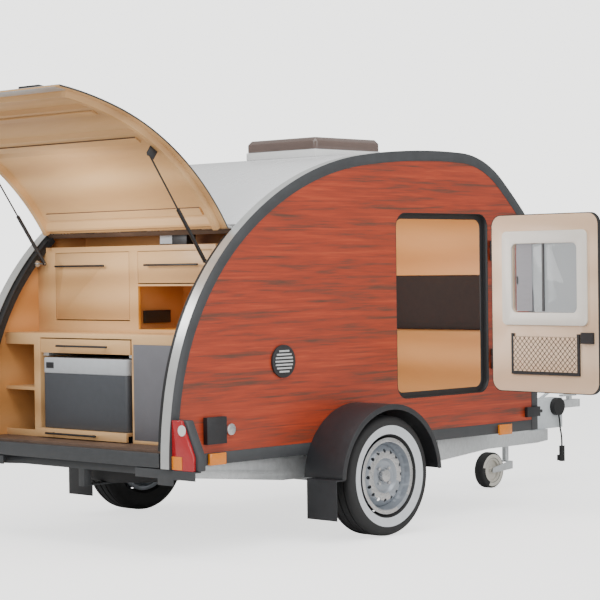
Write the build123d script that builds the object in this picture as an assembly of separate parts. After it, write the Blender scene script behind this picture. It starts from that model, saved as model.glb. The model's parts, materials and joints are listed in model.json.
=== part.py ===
from build123d import *
import math
import os

# Teardrop trailer in mm. X points forward to the coupling, Y to its left side, Z up.
# The model is laid out from the ground under the axle, then moved to the ball socket at the end.

# Body shell
body_length = 2684
body_height = 1465
body_width = 1446
body_low_z = 404
rear_x = -1216
side_thick = 20
skin_thick = 3
panel_thick = 24
floor_thick = 20
skirt_high = 56
skirt_thick = 30
rear_sill_high = 64
overrun = 60
seat_gap = 0.3
part_gap = 5
outline_shares = (
    (0, 0), (0.0119, 0.2314), (0.1718, 0.7290), (0.4773, 0.9754), (0.7679, 1),
    (0.8927, 0.9113), (0.9572, 0.8048), (1, 0.6194), (1, 0),
)
hinge_knot = 2
front_knot = 7

# Edges of the body
trim_wide = 52
trim_thick = 2
rail_wide = 55
seal_wide = 30
seal_thick = 13.5
jamb_deep = 25

# Hatch
hatch_open = 98
hatch_skin_thick = 2
hatch_ply_thick = 6
hatch_rib_wide = 30
hatch_rib_deep = 30
hatch_bar_deep = 22
hatch_bar_high = 45
hatch_bar_shares = (0.04, 0.21, 0.475, 0.97)
hatch_hinge_radius = 7
hatch_pin_radius = 4
hinge_leaf_wide = 32
hinge_leaf_thick = 2
knuckle_long = 180
end_strip_wide = 50
hatch_handle_y = -395
hatch_handle_long = 140
hatch_handle_wide = 32
hatch_handle_high = 22

# Gas struts
strut_body_back = 90.1
strut_body_down = 147
strut_lid_back = 425.1
strut_lid_up = 334
strut_stand = 18
strut_cylinder_radius = 9
strut_cylinder_long = 287
strut_rod_radius = 4
strut_rod_in = 26
strut_eye_radius = 9
strut_eye_thick = 10
strut_pin_radius = 4
strut_boss_radius = 16
strut_plate_thick = 4
strut_plate_wide = 50
strut_plate_low = 14
strut_plate_high = 62
strut_plate_turn = 54

# Cabin doors
door_low_gap = 224
door_top_gap = 312
door_front_gap = 412
door_wide = 730
door_corner = 72
door_lining = 4
door_lip = 30
door_lip_thick = 6
door_frame_in = 13
leaf_thick = 22
leaf_edge = 5
door_swing = 86
door_hinge_out_x = 19
door_hinge_out_y = 12
door_knuckle_radius = 8
door_pin_radius = 4
door_knuckle_high = 34
door_hinge_low = 172
door_hinge_high = 192
door_strap_long = 62
door_strap_thick = 3
door_strap_lift = 1
window_side_gap = 82
window_top_gap = 86
window_wide = 562
window_high = 481
window_frame_wide = 64
window_frame_thick = 12
window_corner = 30
glass_thick = 4
pocket_front_gap = 140
pocket_low_gap = 92
pocket_wide = 452
pocket_high = 210
pocket_deep = 10
pocket_rim = 16
latch_low_gap = 255
latch_long = 78
latch_high = 56
latch_deep = 14

# Galley furniture
board = 16
bulkhead_x = -455
floor_top_z = body_low_z + skirt_high + floor_thick
upper_face_x = -787
lower_face_x = -1000
worktop_z = 987
worktop_thick = 22
upper_top_z = 1405
upper_handle_z = 1311
upper_handle_y = 355
flap_low_z = 1047
flap_high_z = 1378
flap_far_gap = 138
flap_near_y = 10
locker_low_z = 1225
niche_low_z = 1003
niche_high_z = 1210
niche_near_y = -440
niche_far_y = -52
locker_near_gap = 138
front_thick = 15
flap_pin_in = 4
flap_pin_radius = 2.5
flap_pin_long = 6
socket_x = -736
socket_long = 171
socket_low_z = 1031
socket_high = 61
socket_thick = 12
monitor_x = -700
monitor_y = -305
monitor_deep = 60
monitor_wide = 190
monitor_high = 70
shelf_bay_y = 480
post_y = 427
centre_near_y = -236
drawer_low_z = 892
drawer_high_z = 962
drawer_deep = 340
tray_low_z = 485
tray_high_z = 527
tray_out = 32
tray_deep = 420
bar_handle_long = 370
bar_handle_radius = 5
bar_handle_post = 4
bar_handle_stand = 24
bar_handle_share = 0.8
tray_handle_shift = 50
runner_wide = 20
utility_lip = 35
cooler_high_z = 869
cooler_lid_high = 76
cooler_far_y = 405
cooler_near_y = -214
cooler_deep = 360
cooler_out = 8
cooler_wall = 40
cooler_corner = 22
shelf_z = 721
utility_low_z = 495
utility_high_z = 957

# Cabin inside
mattress_thick = 100
mattress_corner = 30
pad_low_z = 925
pad_high_z = 1250
pad_thick = 40

# Wheels
tyre_radius = 289
tyre_width = 172
wheel_out = 147
bead_radius = 167
bead_half = 65
rim_thick = 4
rim_lip_radius = 183
rim_seat_wide = 24
rim_drop_half = 14
disc_crown = 14
rim_drop_radius = 148
disc_out = 38
hub_radius = 40
hub_dish_radius = 76
rim_hole_ring = 118
rim_hole_radius = 9
rim_hole_count = 16
cap_radius = 29
cap_out = 22
bolt_out = 12
bolt_circle = 49
bolt_radius = 8
bolt_count = 4
drum_radius = 105
drum_wide = 46
stub_radius = 16
stub_gap = 0.3
spindle_radius = 34
spindle_long = 80
tyre_wall = 12
tyre_bulge = 1.1

# Running gear and chassis
axle_forward = 130
axle_size = 60
arm_inset = 122
arm_thick = 22
arm_high = 56
frame_high = 124
frame_rear_high = 52
frame_taper_back = 380
leg_tip_low_z = 245
frame_wide = 44
frame_wall = 4
frame_inset = 133
frame_rear_x = -1120
leg_start_back = 708
drawbar_long = 972
leg_end_y = 38
cross_shares = (0.00843, 0.21067, 0.39888, 0.68539)
fender_tyre_gap = 71
fender_radius = tyre_radius + fender_tyre_gap
fender_drop = 16
fender_ahead = 6
fender_wall = 3
fender_wide = 100
fender_lip = 26
fender_low_z = 300
flap_wide = 190
flap_back = 36
flap_bracket = 6
flap_bottom_z = 110
flap_thick = 4
carrier_wide = 40
carrier_thick = 8

# Coupling, overrun unit and brake
ball_ahead = 360
ball_z = 436
ball_radius = 25.25
socket_deep = 26
head_wall = 7
head_neck_long = 160
draw_tube_radius = 25
housing_back = 140
housing_ahead = 172
housing_low_z = 312
housing_high_z = 490
housing_wide = 90
head_overlap = 30
grip_wide = 28
grip_thick = 12
grip_lift = 22
grip_long = 140
lever_long = 270
lever_radius = 9
lever_turn = 22

# Jockey wheel
jockey_back = 329
jockey_trail = 154
jockey_radius = 103
jockey_wide = 60
jockey_rim_radius = 68
jockey_outer_radius = 25
jockey_tube_radius = 19
jockey_inner_radius = 14
jockey_fork_high = 28
jockey_fork_low_z = 100
jockey_pin_long = 30
jockey_top_z = 640
jockey_outer_low_z = 250
jockey_stem_low_z = 150
jockey_fork_thick = 5
jockey_axle_radius = 6
jockey_travel = 60
crank_long = 110
crank_knob_long = 60
crank_radius = 8

# Spare wheel under the rear floor
spare_x = -720
spare_top_gap = 4

# Lamps, markers and side fittings
lamp_low_z = 400
lamp_high_z = 622
lamp_wide = 152
lamp_lens_wide = 136
lamp_top_wide = 60
lamp_deep = 64
lens_thick = 18
lamp_face_x = -1200
lamp_slope_low = 66
lamp_rail_thick = 6
lamp_rail_wide = 40
lamp_rail_high = 41
lamp_rail_inset = 110
lamp_plate_high = 70
lamp_plate_wide = 100
marker_wide = 104
marker_high = 54
marker_deep = 16
marker_rear_gap = 288
marker_front_gap = 292
marker_zs = (430, 424)
vent_x = -489
vent_z = 853
vent_radius = 77
vent_deep = 10
inlet_x = -943
inlet_z = 560
inlet_size = 122
inlet_deep = 26
lock_x = -836
lock_z = 558
lock_radius = 26
lock_deep = 10
retainer_back = 56
retainer_z = 503
retainer_long = 112
retainer_high = 52
retainer_deep = 18
retainer_radius = 20

# Roof vent
roof_vent_back = 963
roof_vent_size = 500
roof_vent_base = 26
roof_vent_dome = 62
roof_vent_edge = 24

# Cable from the overrun unit, its coil and its plug
cable_radius = 5
coil_radius = 52
coil_thick = 34
coil_ahead = 100
coil_z = 440
plug_radius = 17
plug_long = 92
plug_lid = 34
cable_turn_share = 0.45
cable_route = (
    (2552, -62, 391), (2560, -64, 352), (2566, -61, 312), (2573, -64, 276), (2581, -62, 240),
        (2581, -62, 202),
)


half_width = body_width / 2
side_in_y = half_width - side_thick
rail_in_y = half_width - rail_wide
seal_in_y = rail_in_y - seal_wide
lid_half = rail_in_y - part_gap
lining_deep = skin_thick + panel_thick
front_x = rear_x + body_length
roof_top_z = body_low_z + body_height + overrun
seal_ease = part_gap / 5
hatch_board_in = hatch_skin_thick + hatch_ply_thick
jamb_out = hatch_board_in + seal_thick
jamb_in = jamb_out + jamb_deep
floor_rear_x = rear_x + jamb_in
rib_out = seal_in_y - 2 * part_gap
frame_top_z = body_low_z - seat_gap
frame_low_z = body_low_z - frame_high
axle_z = frame_low_z - axle_size / 2 - seat_gap
spare_low_z = body_low_z + skirt_high - spare_top_gap - tyre_width
door_low_z = body_low_z + door_low_gap
door_high_z = body_low_z + body_height - door_top_gap
door_front_x = front_x - door_front_gap
door_rear_x = door_front_x - door_wide
door_hinge_zs = (door_low_z + door_hinge_low, door_high_z - door_hinge_high)
flap_far_y = side_in_y - flap_far_gap
locker_near_y = locker_near_gap - side_in_y
wheel_y = half_width + wheel_out
arm_y = wheel_y - arm_inset
fender_out_y = wheel_y + fender_wide
frame_y = half_width - frame_inset
lamp_rail_in_y = frame_y - lamp_rail_inset
leg_start_x = front_x - leg_start_back
leg_end_x = front_x + drawbar_long
cross_xs = [frame_rear_x + share * (leg_end_x - frame_rear_x) for share in cross_shares]
ball_x = leg_end_x + ball_ahead
head_rear_x = ball_x - head_neck_long
housing_rear_x = leg_end_x - housing_back
housing_front_x = leg_end_x + housing_ahead
jockey_x = leg_end_x - jockey_back
jockey_wheel_x = jockey_x - jockey_trail
coil_x = leg_end_x + coil_ahead
marker_xs = (rear_x + marker_rear_gap, front_x - marker_front_gap)
retainer_x = front_x - retainer_back
roof_vent_x = front_x - roof_vent_back
fender_mid_z = tyre_radius - fender_drop

# Low and high edge of the frame's members at places along the trailer
member_stations = (
    (frame_rear_x, body_low_z - frame_rear_high, frame_top_z),
    (-frame_taper_back, frame_low_z, frame_top_z),
    (front_x, frame_low_z, frame_top_z),
    (housing_rear_x - frame_wide, leg_tip_low_z, housing_low_z - seat_gap),
    (leg_end_x, leg_tip_low_z, housing_low_z - seat_gap),
)
made = {}


def block(x_span, y_span, z_span):
    """Box between a low and a high value on each axis."""
    spans = (x_span, y_span, z_span)
    sizes = [high - low for low, high in spans]
    middles = [(high + low) / 2 for low, high in spans]
    return Pos(*middles) * Box(*sizes)


def bar(start, end, radius):
    """Round bar between two points."""
    run = Vector(end) - Vector(start)
    return Solid.make_cylinder(radius, run.length, Plane(origin=start, z_dir=run))


def across(x, z, y_span, radius):
    """Round bar along Y."""
    return bar((x, y_span[0], z), (x, y_span[1], z), radius)


def mirrored(shape):
    """Copy on the far side."""
    return mirror(shape, about=Plane.XZ)


def both(shape):
    """A shape with its copy on the far side."""
    return Compound([*shape.solids(), *mirrored(shape).solids()])


def panel(points, y_span):
    """Flat plate standing along X and Z, cut to an outline of (x, z) points."""
    face = make_face(Polyline(*points, close=True))
    return Pos(0, y_span[1], 0) * extrude(Plane.XZ * face, y_span[1] - y_span[0])


def rounded(x_span, z_span, y_span, corner):
    """Upright plate along X and Z with rounded corners."""
    wide, high = x_span[1] - x_span[0], z_span[1] - z_span[0]
    face = Pos(sum(x_span) / 2, sum(z_span) / 2) * RectangleRounded(wide, high, corner)
    return Pos(0, y_span[1], 0) * extrude(Plane.XZ * face, y_span[1] - y_span[0])


# Body outline: tangent arcs from the rear low edge over the roof to the front low edge
knots = [
    Vector(rear_x + share_x * body_length, body_low_z + share_z * body_height)
    for share_x, share_z in outline_shares
]
headings = [Vector(0, 1)]
for knot, following in zip(knots[:-2], knots[1:-1]):
    headings.append(TangentArc(knot, following, tangent=headings[-1]) % 1)
headings[-1] = Vector(0, -1)
headings.append(Vector(0, -1))
inwards = [Vector(heading.Y, -heading.X) for heading in headings]


def outline(inset):
    """Side outline moved inwards by a wall, as a face that runs on below the body."""
    spots = [knot + inward * inset for knot, inward in zip(knots, inwards)]
    arcs = [TangentArc(a, b, tangent=h) for a, b, h in zip(spots[:-2], spots[1:-1], headings)]
    arcs.append(Line(spots[-2], spots[-1]))
    low = body_low_z - overrun
    first, last = spots[0], spots[-1]
    base = Polyline(last, (last.X, low), (first.X, low), first)
    return make_face([*arcs, *base.edges()])


def slab(inset, y_span, low_z=body_low_z):
    """Solid of the whole side outline between two Y values, above a height."""
    solid = Pos(0, y_span[1], 0) * extrude(Plane.XZ * outline(inset), y_span[1] - y_span[0])
    reach = body_length + body_height
    return solid & block((-reach, reach), y_span, (low_z, reach))


def band(outer, inner, y_span, low_z=body_low_z):
    """Curved strip between two insets of the outline."""
    return slab(outer, y_span, low_z) - slab(inner, (y_span[0] - overrun, y_span[1] + overrun),
        low_z - overrun)


def knot_plane(number, shift=0):
    """Plane square to the outline at one of its knots, moved along it."""
    heading, knot = headings[number], knots[number]
    origin = Vector(knot.X + heading.X * shift, 0, knot.Y + heading.Y * shift)
    return Plane(origin=origin, x_dir=(0, 1, 0), z_dir=(heading.X, 0, heading.Y))


def ahead(shape, number, shift=0):
    """What lies on the front side of a knot."""
    return split(shape, bisect_by=knot_plane(number, shift), keep=Keep.TOP)


def behind(shape, number, shift=0):
    """What lies on the rear side of a knot."""
    return split(shape, bisect_by=knot_plane(number, shift), keep=Keep.BOTTOM)


hinge_knot_place = knots[hinge_knot]
hinge_out = hatch_hinge_radius + hinge_leaf_thick
hinge_x = hinge_knot_place.X - inwards[hinge_knot].X * hinge_out
hinge_z = hinge_knot_place.Y - inwards[hinge_knot].Y * hinge_out
hatch_axis = Axis((hinge_x, 0, hinge_z), (0, 1, 0))
strut_body_x = hinge_knot_place.X - strut_body_back
strut_body_z = hinge_knot_place.Y - strut_body_down
strut_lid_x = hinge_knot_place.X - strut_lid_back
strut_lid_z = hinge_knot_place.Y + strut_lid_up
strut_y = rib_out - hatch_rib_wide - strut_stand


def makeDoorway(inset, y_span):
    """Rounded block the size of the doorway, made smaller by an inset."""
    return rounded(
        (door_rear_x + inset, door_front_x - inset),
        (door_low_z + inset, door_high_z - inset),
        y_span, door_corner - inset,
    )


def makeShell():
    """Side walls, roof, front, floor, skirt and edge trims."""
    skirt_top = body_low_z + skirt_high
    side = slab(skin_thick, (-half_width, -side_in_y), skirt_top)
    side -= makeDoorway(0, (-half_width - overrun, -side_in_y + overrun))
    made["side_near"] = side
    made["side_far"] = mirrored(side)
    made["side_trims"] = both(band(0, trim_wide, (-half_width - trim_thick, -half_width)))
    made["edge_rails"] = both(band(0, skin_thick, (-half_width, -rail_in_y)))

    skin = ahead(band(0, skin_thick, (-rail_in_y, rail_in_y)), hinge_knot)
    core = ahead(band(skin_thick, lining_deep, (-side_in_y, side_in_y), floor_top_z), hinge_knot)
    made["roof"] = behind(skin + core, front_knot)
    made["front"] = ahead(skin + core, front_knot)

    upright = band(skin_thick, jamb_in, (-side_in_y, -rail_in_y), floor_top_z)
    ledge = band(jamb_out, jamb_in, (-rail_in_y, -seal_in_y), floor_top_z)
    galley_side = block((rear_x, bulkhead_x), (-half_width, 0), (floor_top_z, roof_top_z))
    jamb = behind(upright + ledge, hinge_knot) & galley_side
    made["hatch_jambs"] = both(jamb)
    seal = band(jamb_out - seal_thick + seal_ease, jamb_out, (-rail_in_y, -seal_in_y), floor_top_z)
    made["hatch_seals"] = both(behind(seal, hinge_knot, -hinge_leaf_wide) & galley_side)

    floor_front_x = front_x - lining_deep
    made["floor"] = block((floor_rear_x, floor_front_x), (-side_in_y, side_in_y), (skirt_top, floor_top_z))
    skirt_front_x = front_x - skin_thick
    frame = block((floor_rear_x, skirt_front_x), (-half_width, half_width), (body_low_z, skirt_top))
    frame -= block(
        (floor_rear_x + skirt_thick, skirt_front_x - skirt_thick),
        (-rail_in_y + skirt_thick, rail_in_y - skirt_thick), (0, roof_top_z))
    frame += block(
        (floor_rear_x - skirt_thick, floor_rear_x), (-seal_in_y, seal_in_y),
            (body_low_z, body_low_z + rear_sill_high))
    made["skirt"] = frame


def makeCabin():
    """Bulkhead, mattress and padded band inside the cabin."""
    inside = slab(lining_deep, (-side_in_y, side_in_y), floor_top_z)
    made["bulkhead"] = inside & block(
        (bulkhead_x - board, bulkhead_x), (-side_in_y, side_in_y), (floor_top_z, roof_top_z))
    bed_y = side_in_y - part_gap
    bed = block(
        (bulkhead_x + part_gap, front_x - lining_deep - part_gap), (-bed_y, bed_y),
        (floor_top_z + seat_gap, floor_top_z + mattress_thick))
    made["mattress"] = fillet(bed.edges().filter_by(Axis.Z), mattress_corner)
    front_in = front_x - lining_deep - seat_gap
    made["front_pad"] = block((front_in - pad_thick, front_in), (-bed_y, bed_y), (pad_low_z, pad_high_z))


def barHandle(face_x, middle_y, z):
    """Bar handle on two posts, standing off a front that faces the rear."""
    bar_x = face_x - bar_handle_stand
    half = bar_handle_long / 2
    grip = across(bar_x, z, (middle_y - half, middle_y + half), bar_handle_radius)
    for post_place in (middle_y - half * bar_handle_share, middle_y + half * bar_handle_share):
        grip += bar((bar_x, post_place, z), (face_x + seat_gap, post_place, z), bar_handle_post)
    return grip


def flapPin(low_z, y_span, radius):
    """Pivot pin through a flap's lower edge, running into the cabinet at both ends."""
    ends = (y_span[0] - flap_pin_long, y_span[1] + flap_pin_long)
    return across(upper_face_x + flap_pin_in, low_z + flap_pin_in, ends, radius)


def makeUpperCabinet():
    """Cabinet above the worktop: face frame, shelves, flaps, niche, sockets and monitor."""
    rear = upper_face_x
    gap = part_gap / 2
    through = (rear - overrun, rear + front_thick + overrun)
    face = block((rear, rear + front_thick), (-side_in_y, side_in_y), (worktop_z, upper_top_z))
    flap_z = (flap_low_z - part_gap, flap_high_z)
    face -= block(through, (flap_near_y, flap_far_y), flap_z)
    locker_z = (locker_low_z - part_gap, flap_high_z)
    face -= block(through, (locker_near_y, niche_far_y), locker_z)
    face -= block(through, (niche_near_y, niche_far_y), (niche_low_z, niche_high_z))
    inner = (rear + front_thick, bulkhead_x - board)
    middle_y = (flap_near_y + niche_far_y) / 2
    cabinet = face + block(inner, (-side_in_y, side_in_y), (upper_top_z - board, upper_top_z))
    cabinet += block(inner, (middle_y - board / 2, middle_y + board / 2), (worktop_z, upper_top_z))
    cabinet += block(inner, (-side_in_y, side_in_y), (worktop_z, niche_low_z))
    cabinet += block(inner, (-side_in_y, middle_y), (niche_high_z, locker_z[0]))
    cabinet += block(inner, (niche_near_y - board, niche_near_y), (worktop_z, niche_high_z))
    hole = flap_pin_radius + seat_gap
    cabinet -= flapPin(flap_low_z, (flap_near_y, flap_far_y), hole)
    cabinet -= flapPin(locker_low_z, (locker_near_y, niche_far_y), hole)
    rib_y = (-rib_out - part_gap, hatch_rib_wide - rib_out + part_gap)
    notches = both(band(0, hatch_board_in + hatch_rib_deep + part_gap, rib_y, worktop_z))
    made["upper_cabinet"] = cabinet - made["hatch_jambs"] - notches

    leaf = (rear, rear + front_thick)
    flap = block(leaf, (flap_near_y + gap, flap_far_y - gap), (flap_low_z, flap_high_z - gap))
    flap += flapPin(flap_low_z, (flap_near_y + seat_gap, flap_far_y - seat_gap), flap_pin_radius)
    made["upper_flap"] = flap + barHandle(rear, upper_handle_y, upper_handle_z)
    locker = block(leaf, (locker_near_y + gap, niche_far_y - gap), (locker_low_z, flap_high_z - gap))
    locker += flapPin(locker_low_z, (locker_near_y + seat_gap, niche_far_y - seat_gap), flap_pin_radius)
    made["locker_flap"] = locker + barHandle(rear, (locker_near_y + niche_far_y) / 2, upper_handle_z)

    socket_y = middle_y - board / 2
    sockets = block(
        (socket_x, socket_x + socket_long), (socket_y - socket_thick, socket_y),
        (socket_low_z, socket_low_z + socket_high))
    monitor = block(
        (monitor_x, monitor_x + monitor_deep), (monitor_y, monitor_y + monitor_wide),
        (upper_top_z, upper_top_z + monitor_high))
    made["galley_electrics"] = Compound([*sockets.solids(), *monitor.solids()])


def makeLowerCabinet():
    """Cabinet under the worktop, with its drawer, tray, cool box and panels."""
    rear = lower_face_x
    depth = (rear, bulkhead_x - board)
    edge = (rear, rear + board)
    top_z = worktop_z - worktop_thick
    near_y = centre_near_y - board
    cabinet = block(depth, (post_y + part_gap, shelf_bay_y), (floor_top_z, top_z))
    cabinet += block(depth, (near_y, centre_near_y - part_gap), (floor_top_z, top_z))
    cabinet += block(depth, (shelf_bay_y, side_in_y), (shelf_z - board, shelf_z))
    cabinet += block(edge, (shelf_bay_y, side_in_y), (floor_top_z, utility_low_z + board))
    cabinet += block(edge, (shelf_bay_y, side_in_y), (top_z - utility_lip, top_z))
    cabinet += block(edge, (-side_in_y, near_y), (utility_high_z - board, top_z))
    cabinet += block(edge, (-side_in_y, near_y), (floor_top_z, utility_low_z))
    cabinet += block(depth, (-side_in_y, side_in_y), (top_z, worktop_z))
    made["lower_cabinet"] = cabinet
    made["utility_panel"] = block(
        (rear, rear + front_thick), (-side_in_y, near_y), (utility_low_z, utility_high_z - board))

    gap = part_gap
    front_y = (centre_near_y + gap, post_y)
    front = block((rear, rear + front_thick), front_y, (drawer_low_z, drawer_high_z - gap / 2))
    tub_x = (rear + front_thick, rear + front_thick + drawer_deep)
    tub_y = (centre_near_y + runner_wide, post_y - runner_wide)
    tub = block(tub_x, tub_y, (drawer_low_z + gap, drawer_high_z - gap))
    tub -= block(
        (tub_x[0] + board, tub_x[1] - board), (tub_y[0] + board, tub_y[1] - board),
        (drawer_low_z + gap + board / 2, drawer_high_z))
    middle_y = (centre_near_y + post_y) / 2
    made["drawer"] = front + tub + barHandle(rear, middle_y, (drawer_low_z + drawer_high_z) / 2)

    tray_x = rear - tray_out
    tray = block((tray_x, tray_x + front_thick), front_y, (tray_low_z, tray_high_z))
    deck_z = (tray_high_z - board, tray_high_z)
    tray += block((tray_x + front_thick, tray_x + tray_deep),
        (centre_near_y + gap * 2, post_y - gap * 2), deck_z)
    made["tray"] = tray + barHandle(tray_x, middle_y + tray_handle_shift, (tray_low_z + tray_high_z) / 2)
    near_runner_y = (centre_near_y - gap, centre_near_y + runner_wide)
    far_runner_y = (post_y - runner_wide, post_y + gap)
    rails = None
    low_z = (floor_top_z + gap, deck_z[0] - seat_gap)
    high_z = (drawer_low_z - board, drawer_low_z + gap - seat_gap)
    for y_span, z_span, deep, inward in (
        (near_runner_y, low_z, tray_deep, 0), (far_runner_y, low_z, tray_deep, 0),
        (near_runner_y, high_z, drawer_deep, board), (far_runner_y, high_z, drawer_deep, -board),
    ):
        y_span = (y_span[0] + min(inward, 0), y_span[1] + max(inward, 0))
        runner = block((rear + board + gap, rear + deep), y_span, z_span)
        rails = runner if rails is None else rails + runner
    made["slide_rails"] = rails

    box_x = (rear - cooler_out, rear - cooler_out + cooler_deep)
    box_y = (cooler_near_y, cooler_far_y)
    lid_z = cooler_high_z - cooler_lid_high
    tub = block(box_x, box_y, (tray_high_z + seat_gap, lid_z - seat_gap))
    tub = fillet(tub.edges().filter_by(Axis.Z), cooler_corner)
    tub -= block(
        (box_x[0] + cooler_wall, box_x[1] - cooler_wall), (box_y[0] + cooler_wall, box_y[1] - cooler_wall),
        (tray_high_z + cooler_wall, cooler_high_z))
    made["cool_box"] = tub
    lid = block(box_x, box_y, (lid_z, cooler_high_z))
    made["cool_box_lid"] = fillet(lid.edges().filter_by(Axis.Z), cooler_corner)


def makeHatch():
    """Rear hatch: curved skin and board, ribs, bars, end strip and handle."""
    low = body_low_z + part_gap
    back = -part_gap
    wide = (-lid_half, lid_half)
    skin = hatchSpan(band(0, hatch_skin_thick, wide, low), back)
    ply = hatchSpan(band(hatch_skin_thick, hatch_board_in, wide, low), back)
    rib_low = body_low_z + rear_sill_high + part_gap
    rib_in = rib_out - hatch_rib_wide
    rib = band(hatch_board_in, hatch_board_in + hatch_rib_deep, (-rib_out, -rib_in), rib_low)
    rib = hatchSpan(rib, back - hinge_out)
    frame = ply + rib + mirrored(rib)
    crossing = band(hatch_board_in, hatch_board_in + hatch_bar_deep, (-rib_in, rib_in), rib_low)
    crossing = hatchSpan(crossing, back - hinge_out)
    span = hinge_knot_place.Y - rib_low
    for share in hatch_bar_shares:
        middle = rib_low + span * share
        frame += crossing & block(
            (rear_x, hinge_x), wide, (middle - hatch_bar_high / 2, middle + hatch_bar_high / 2))
    strip = band(hatch_board_in, hatch_board_in + trim_thick, (-rib_out, rib_out), low)
    strip &= block((rear_x, 0), wide, (low, rib_low - seat_gap))
    made["hatch_skin"] = Compound([*skin.solids(), *strip.solids()])
    plates = makeLidPlates()
    made["hatch_frame"] = frame - plates

    handle_z = body_low_z + end_strip_wide
    half = hatch_handle_long / 2
    handle = block(
        (rear_x - hatch_handle_high, rear_x + hatch_skin_thick),
            (hatch_handle_y - half, hatch_handle_y + half),
        (handle_z, handle_z + hatch_handle_wide))
    handle -= slab(-seat_gap, wide, 0)
    made["hatch_fittings"] = Compound([*handle.solids(), *made.pop("hinge_lid_half").solids(),
        *plates.solids()])


def hatchSpan(shape, shift):
    """Part of a curved strip that the hatch covers."""
    return behind(shape, hinge_knot, shift) & block(
        (rear_x - overrun, hinge_x + overrun), (-half_width, half_width), (0, roof_top_z))


def makeHatchHinge():
    """Piano hinge of the hatch: body half with its pin, and hatch half."""
    slope = math.degrees(math.atan2(headings[hinge_knot].Y, headings[hinge_knot].X))
    place = Pos(hinge_x, 0, hinge_z) * Rot(0, -slope, 0)
    count = int(2 * rail_in_y / knuckle_long)
    step = 2 * rail_in_y / count
    halves = [None, None]
    low = -hinge_out
    for number in range(count):
        y_low = -rail_in_y + step * number + seat_gap
        y_span = (y_low, y_low + step - 2 * seat_gap)
        barrel = across(0, 0, y_span, hatch_hinge_radius)
        reach = -1 if number % 2 else 1
        near, mid, far = 0, reach * hatch_hinge_radius, reach * hinge_leaf_wide
        piece = barrel + block(sorted((near, mid)), y_span, (low, 0))
        piece += block(sorted((near, far)), y_span, (low, low + hinge_leaf_thick))
        if number % 2:
            piece -= across(0, 0, (-half_width, half_width), hatch_pin_radius + seat_gap)
        halves[number % 2] = piece if halves[number % 2] is None else halves[number % 2] + piece
    pin_y = (-rail_in_y + seat_gap, rail_in_y - seat_gap)
    skin = slab(-seat_gap / 2, (-half_width, half_width))
    body_half = place * (halves[0] + across(0, 0, pin_y, hatch_pin_radius)) - skin
    made["hinge_lid_half"] = place * halves[1] - skin
    boss = across(strut_body_x, strut_body_z, (-seal_in_y, -seal_in_y + strut_plate_thick),
        strut_boss_radius)
    pin = across(strut_body_x, strut_body_z, (-seal_in_y, -strut_y + strut_eye_thick / 2), strut_pin_radius)
    made["hatch_hinge"] = Compound([*body_half.solids(), *both(boss + pin).solids()])


def makeLidPlates():
    """Plates on the hatch ribs with the studs for the struts, as they lie shut."""
    turn = math.radians(strut_plate_turn)
    out = Vector(math.cos(turn), math.sin(turn))
    side = Vector(-out.Y, out.X) * (strut_plate_wide / 2)
    pin = Vector(strut_lid_x, strut_lid_z)
    low, high = pin - out * strut_plate_low, pin + out * strut_plate_high
    corners = [(spot.X, spot.Y) for spot in (low - side, low + side, high + side, high - side)]
    inner_y = rib_out - hatch_rib_wide
    plate = panel(corners, (-inner_y, -inner_y + strut_plate_thick))
    stud = across(strut_lid_x, strut_lid_z, (-inner_y, -strut_y - strut_eye_thick / 2 - seat_gap),
        strut_pin_radius)
    return both(plate + stud).rotate(hatch_axis, -hatch_open)


def strutEye(spot, y):
    """Round eye of a strut end."""
    eye = across(spot.X, spot.Z, (y - strut_eye_thick / 2, y + strut_eye_thick / 2), strut_eye_radius)
    return eye - across(spot.X, spot.Z, (y - overrun, y + overrun), strut_pin_radius + seat_gap)


def makeStruts():
    """Gas struts as they stand with the hatch open."""
    y = -strut_y
    foot, head = Vector(strut_body_x, y, strut_body_z), Vector(strut_lid_x, y, strut_lid_z)
    along = (head - foot).normalized()
    eye_y = (y - overrun, y + overrun)
    start = strut_eye_radius - part_gap / 2
    mouth = foot + along * strut_cylinder_long
    cylinder = bar(foot + along * start, mouth, strut_cylinder_radius)
    cylinder -= across(foot.X, foot.Z, eye_y, strut_eye_radius - seat_gap)
    bore_start = foot + along * (2 * strut_eye_radius + part_gap)
    cylinder -= bar(bore_start, mouth + along * overrun, strut_rod_radius + seat_gap)
    made["strut_cylinders"] = both(cylinder + strutEye(foot, y))
    rod = bar(mouth - along * strut_rod_in, head - along * start, strut_rod_radius)
    rod -= across(head.X, head.Z, eye_y, strut_eye_radius - seat_gap)
    made["strut_rods"] = both(rod + strutEye(head, y))


def hatchAtRest(shape):
    """Turn a hatch piece, built shut, to its open place."""
    return shape.rotate(hatch_axis, hatch_open)


leaf_margin = door_lining + leaf_edge
leaf_x = (door_rear_x + leaf_margin, door_front_x - leaf_margin)
leaf_z = (door_low_z + leaf_margin, door_high_z - leaf_margin)
door_hinge_x = door_front_x + door_hinge_out_x
door_hinge_y = half_width + door_hinge_out_y


def upright(z_span, radius):
    """Round bar on the door's hinge line."""
    return bar((door_hinge_x, -door_hinge_y, z_span[0]), (door_hinge_x, -door_hinge_y, z_span[1]), radius)


def grown(span, amount):
    """A span made longer at both ends."""
    return (span[0] - amount, span[1] + amount)


def makeDoorHalfHinge(z):
    """Strap and knuckle on the door leaf."""
    span = (z - door_knuckle_high / 2, z + door_knuckle_high / 2)
    lift_y = -half_width - door_strap_lift
    outer_y = lift_y - door_strap_thick
    strap = block((leaf_x[1] - door_strap_long, door_hinge_x), (outer_y, lift_y), span)
    strap += block((leaf_x[1] - door_strap_long, leaf_x[1]), (lift_y, -half_width), span)
    strap += upright(span, door_knuckle_radius)
    strap += block((door_hinge_x - door_knuckle_radius, door_hinge_x), (-door_hinge_y, lift_y), span)
    return strap - upright(grown(span, overrun), door_pin_radius + seat_gap)


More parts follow.
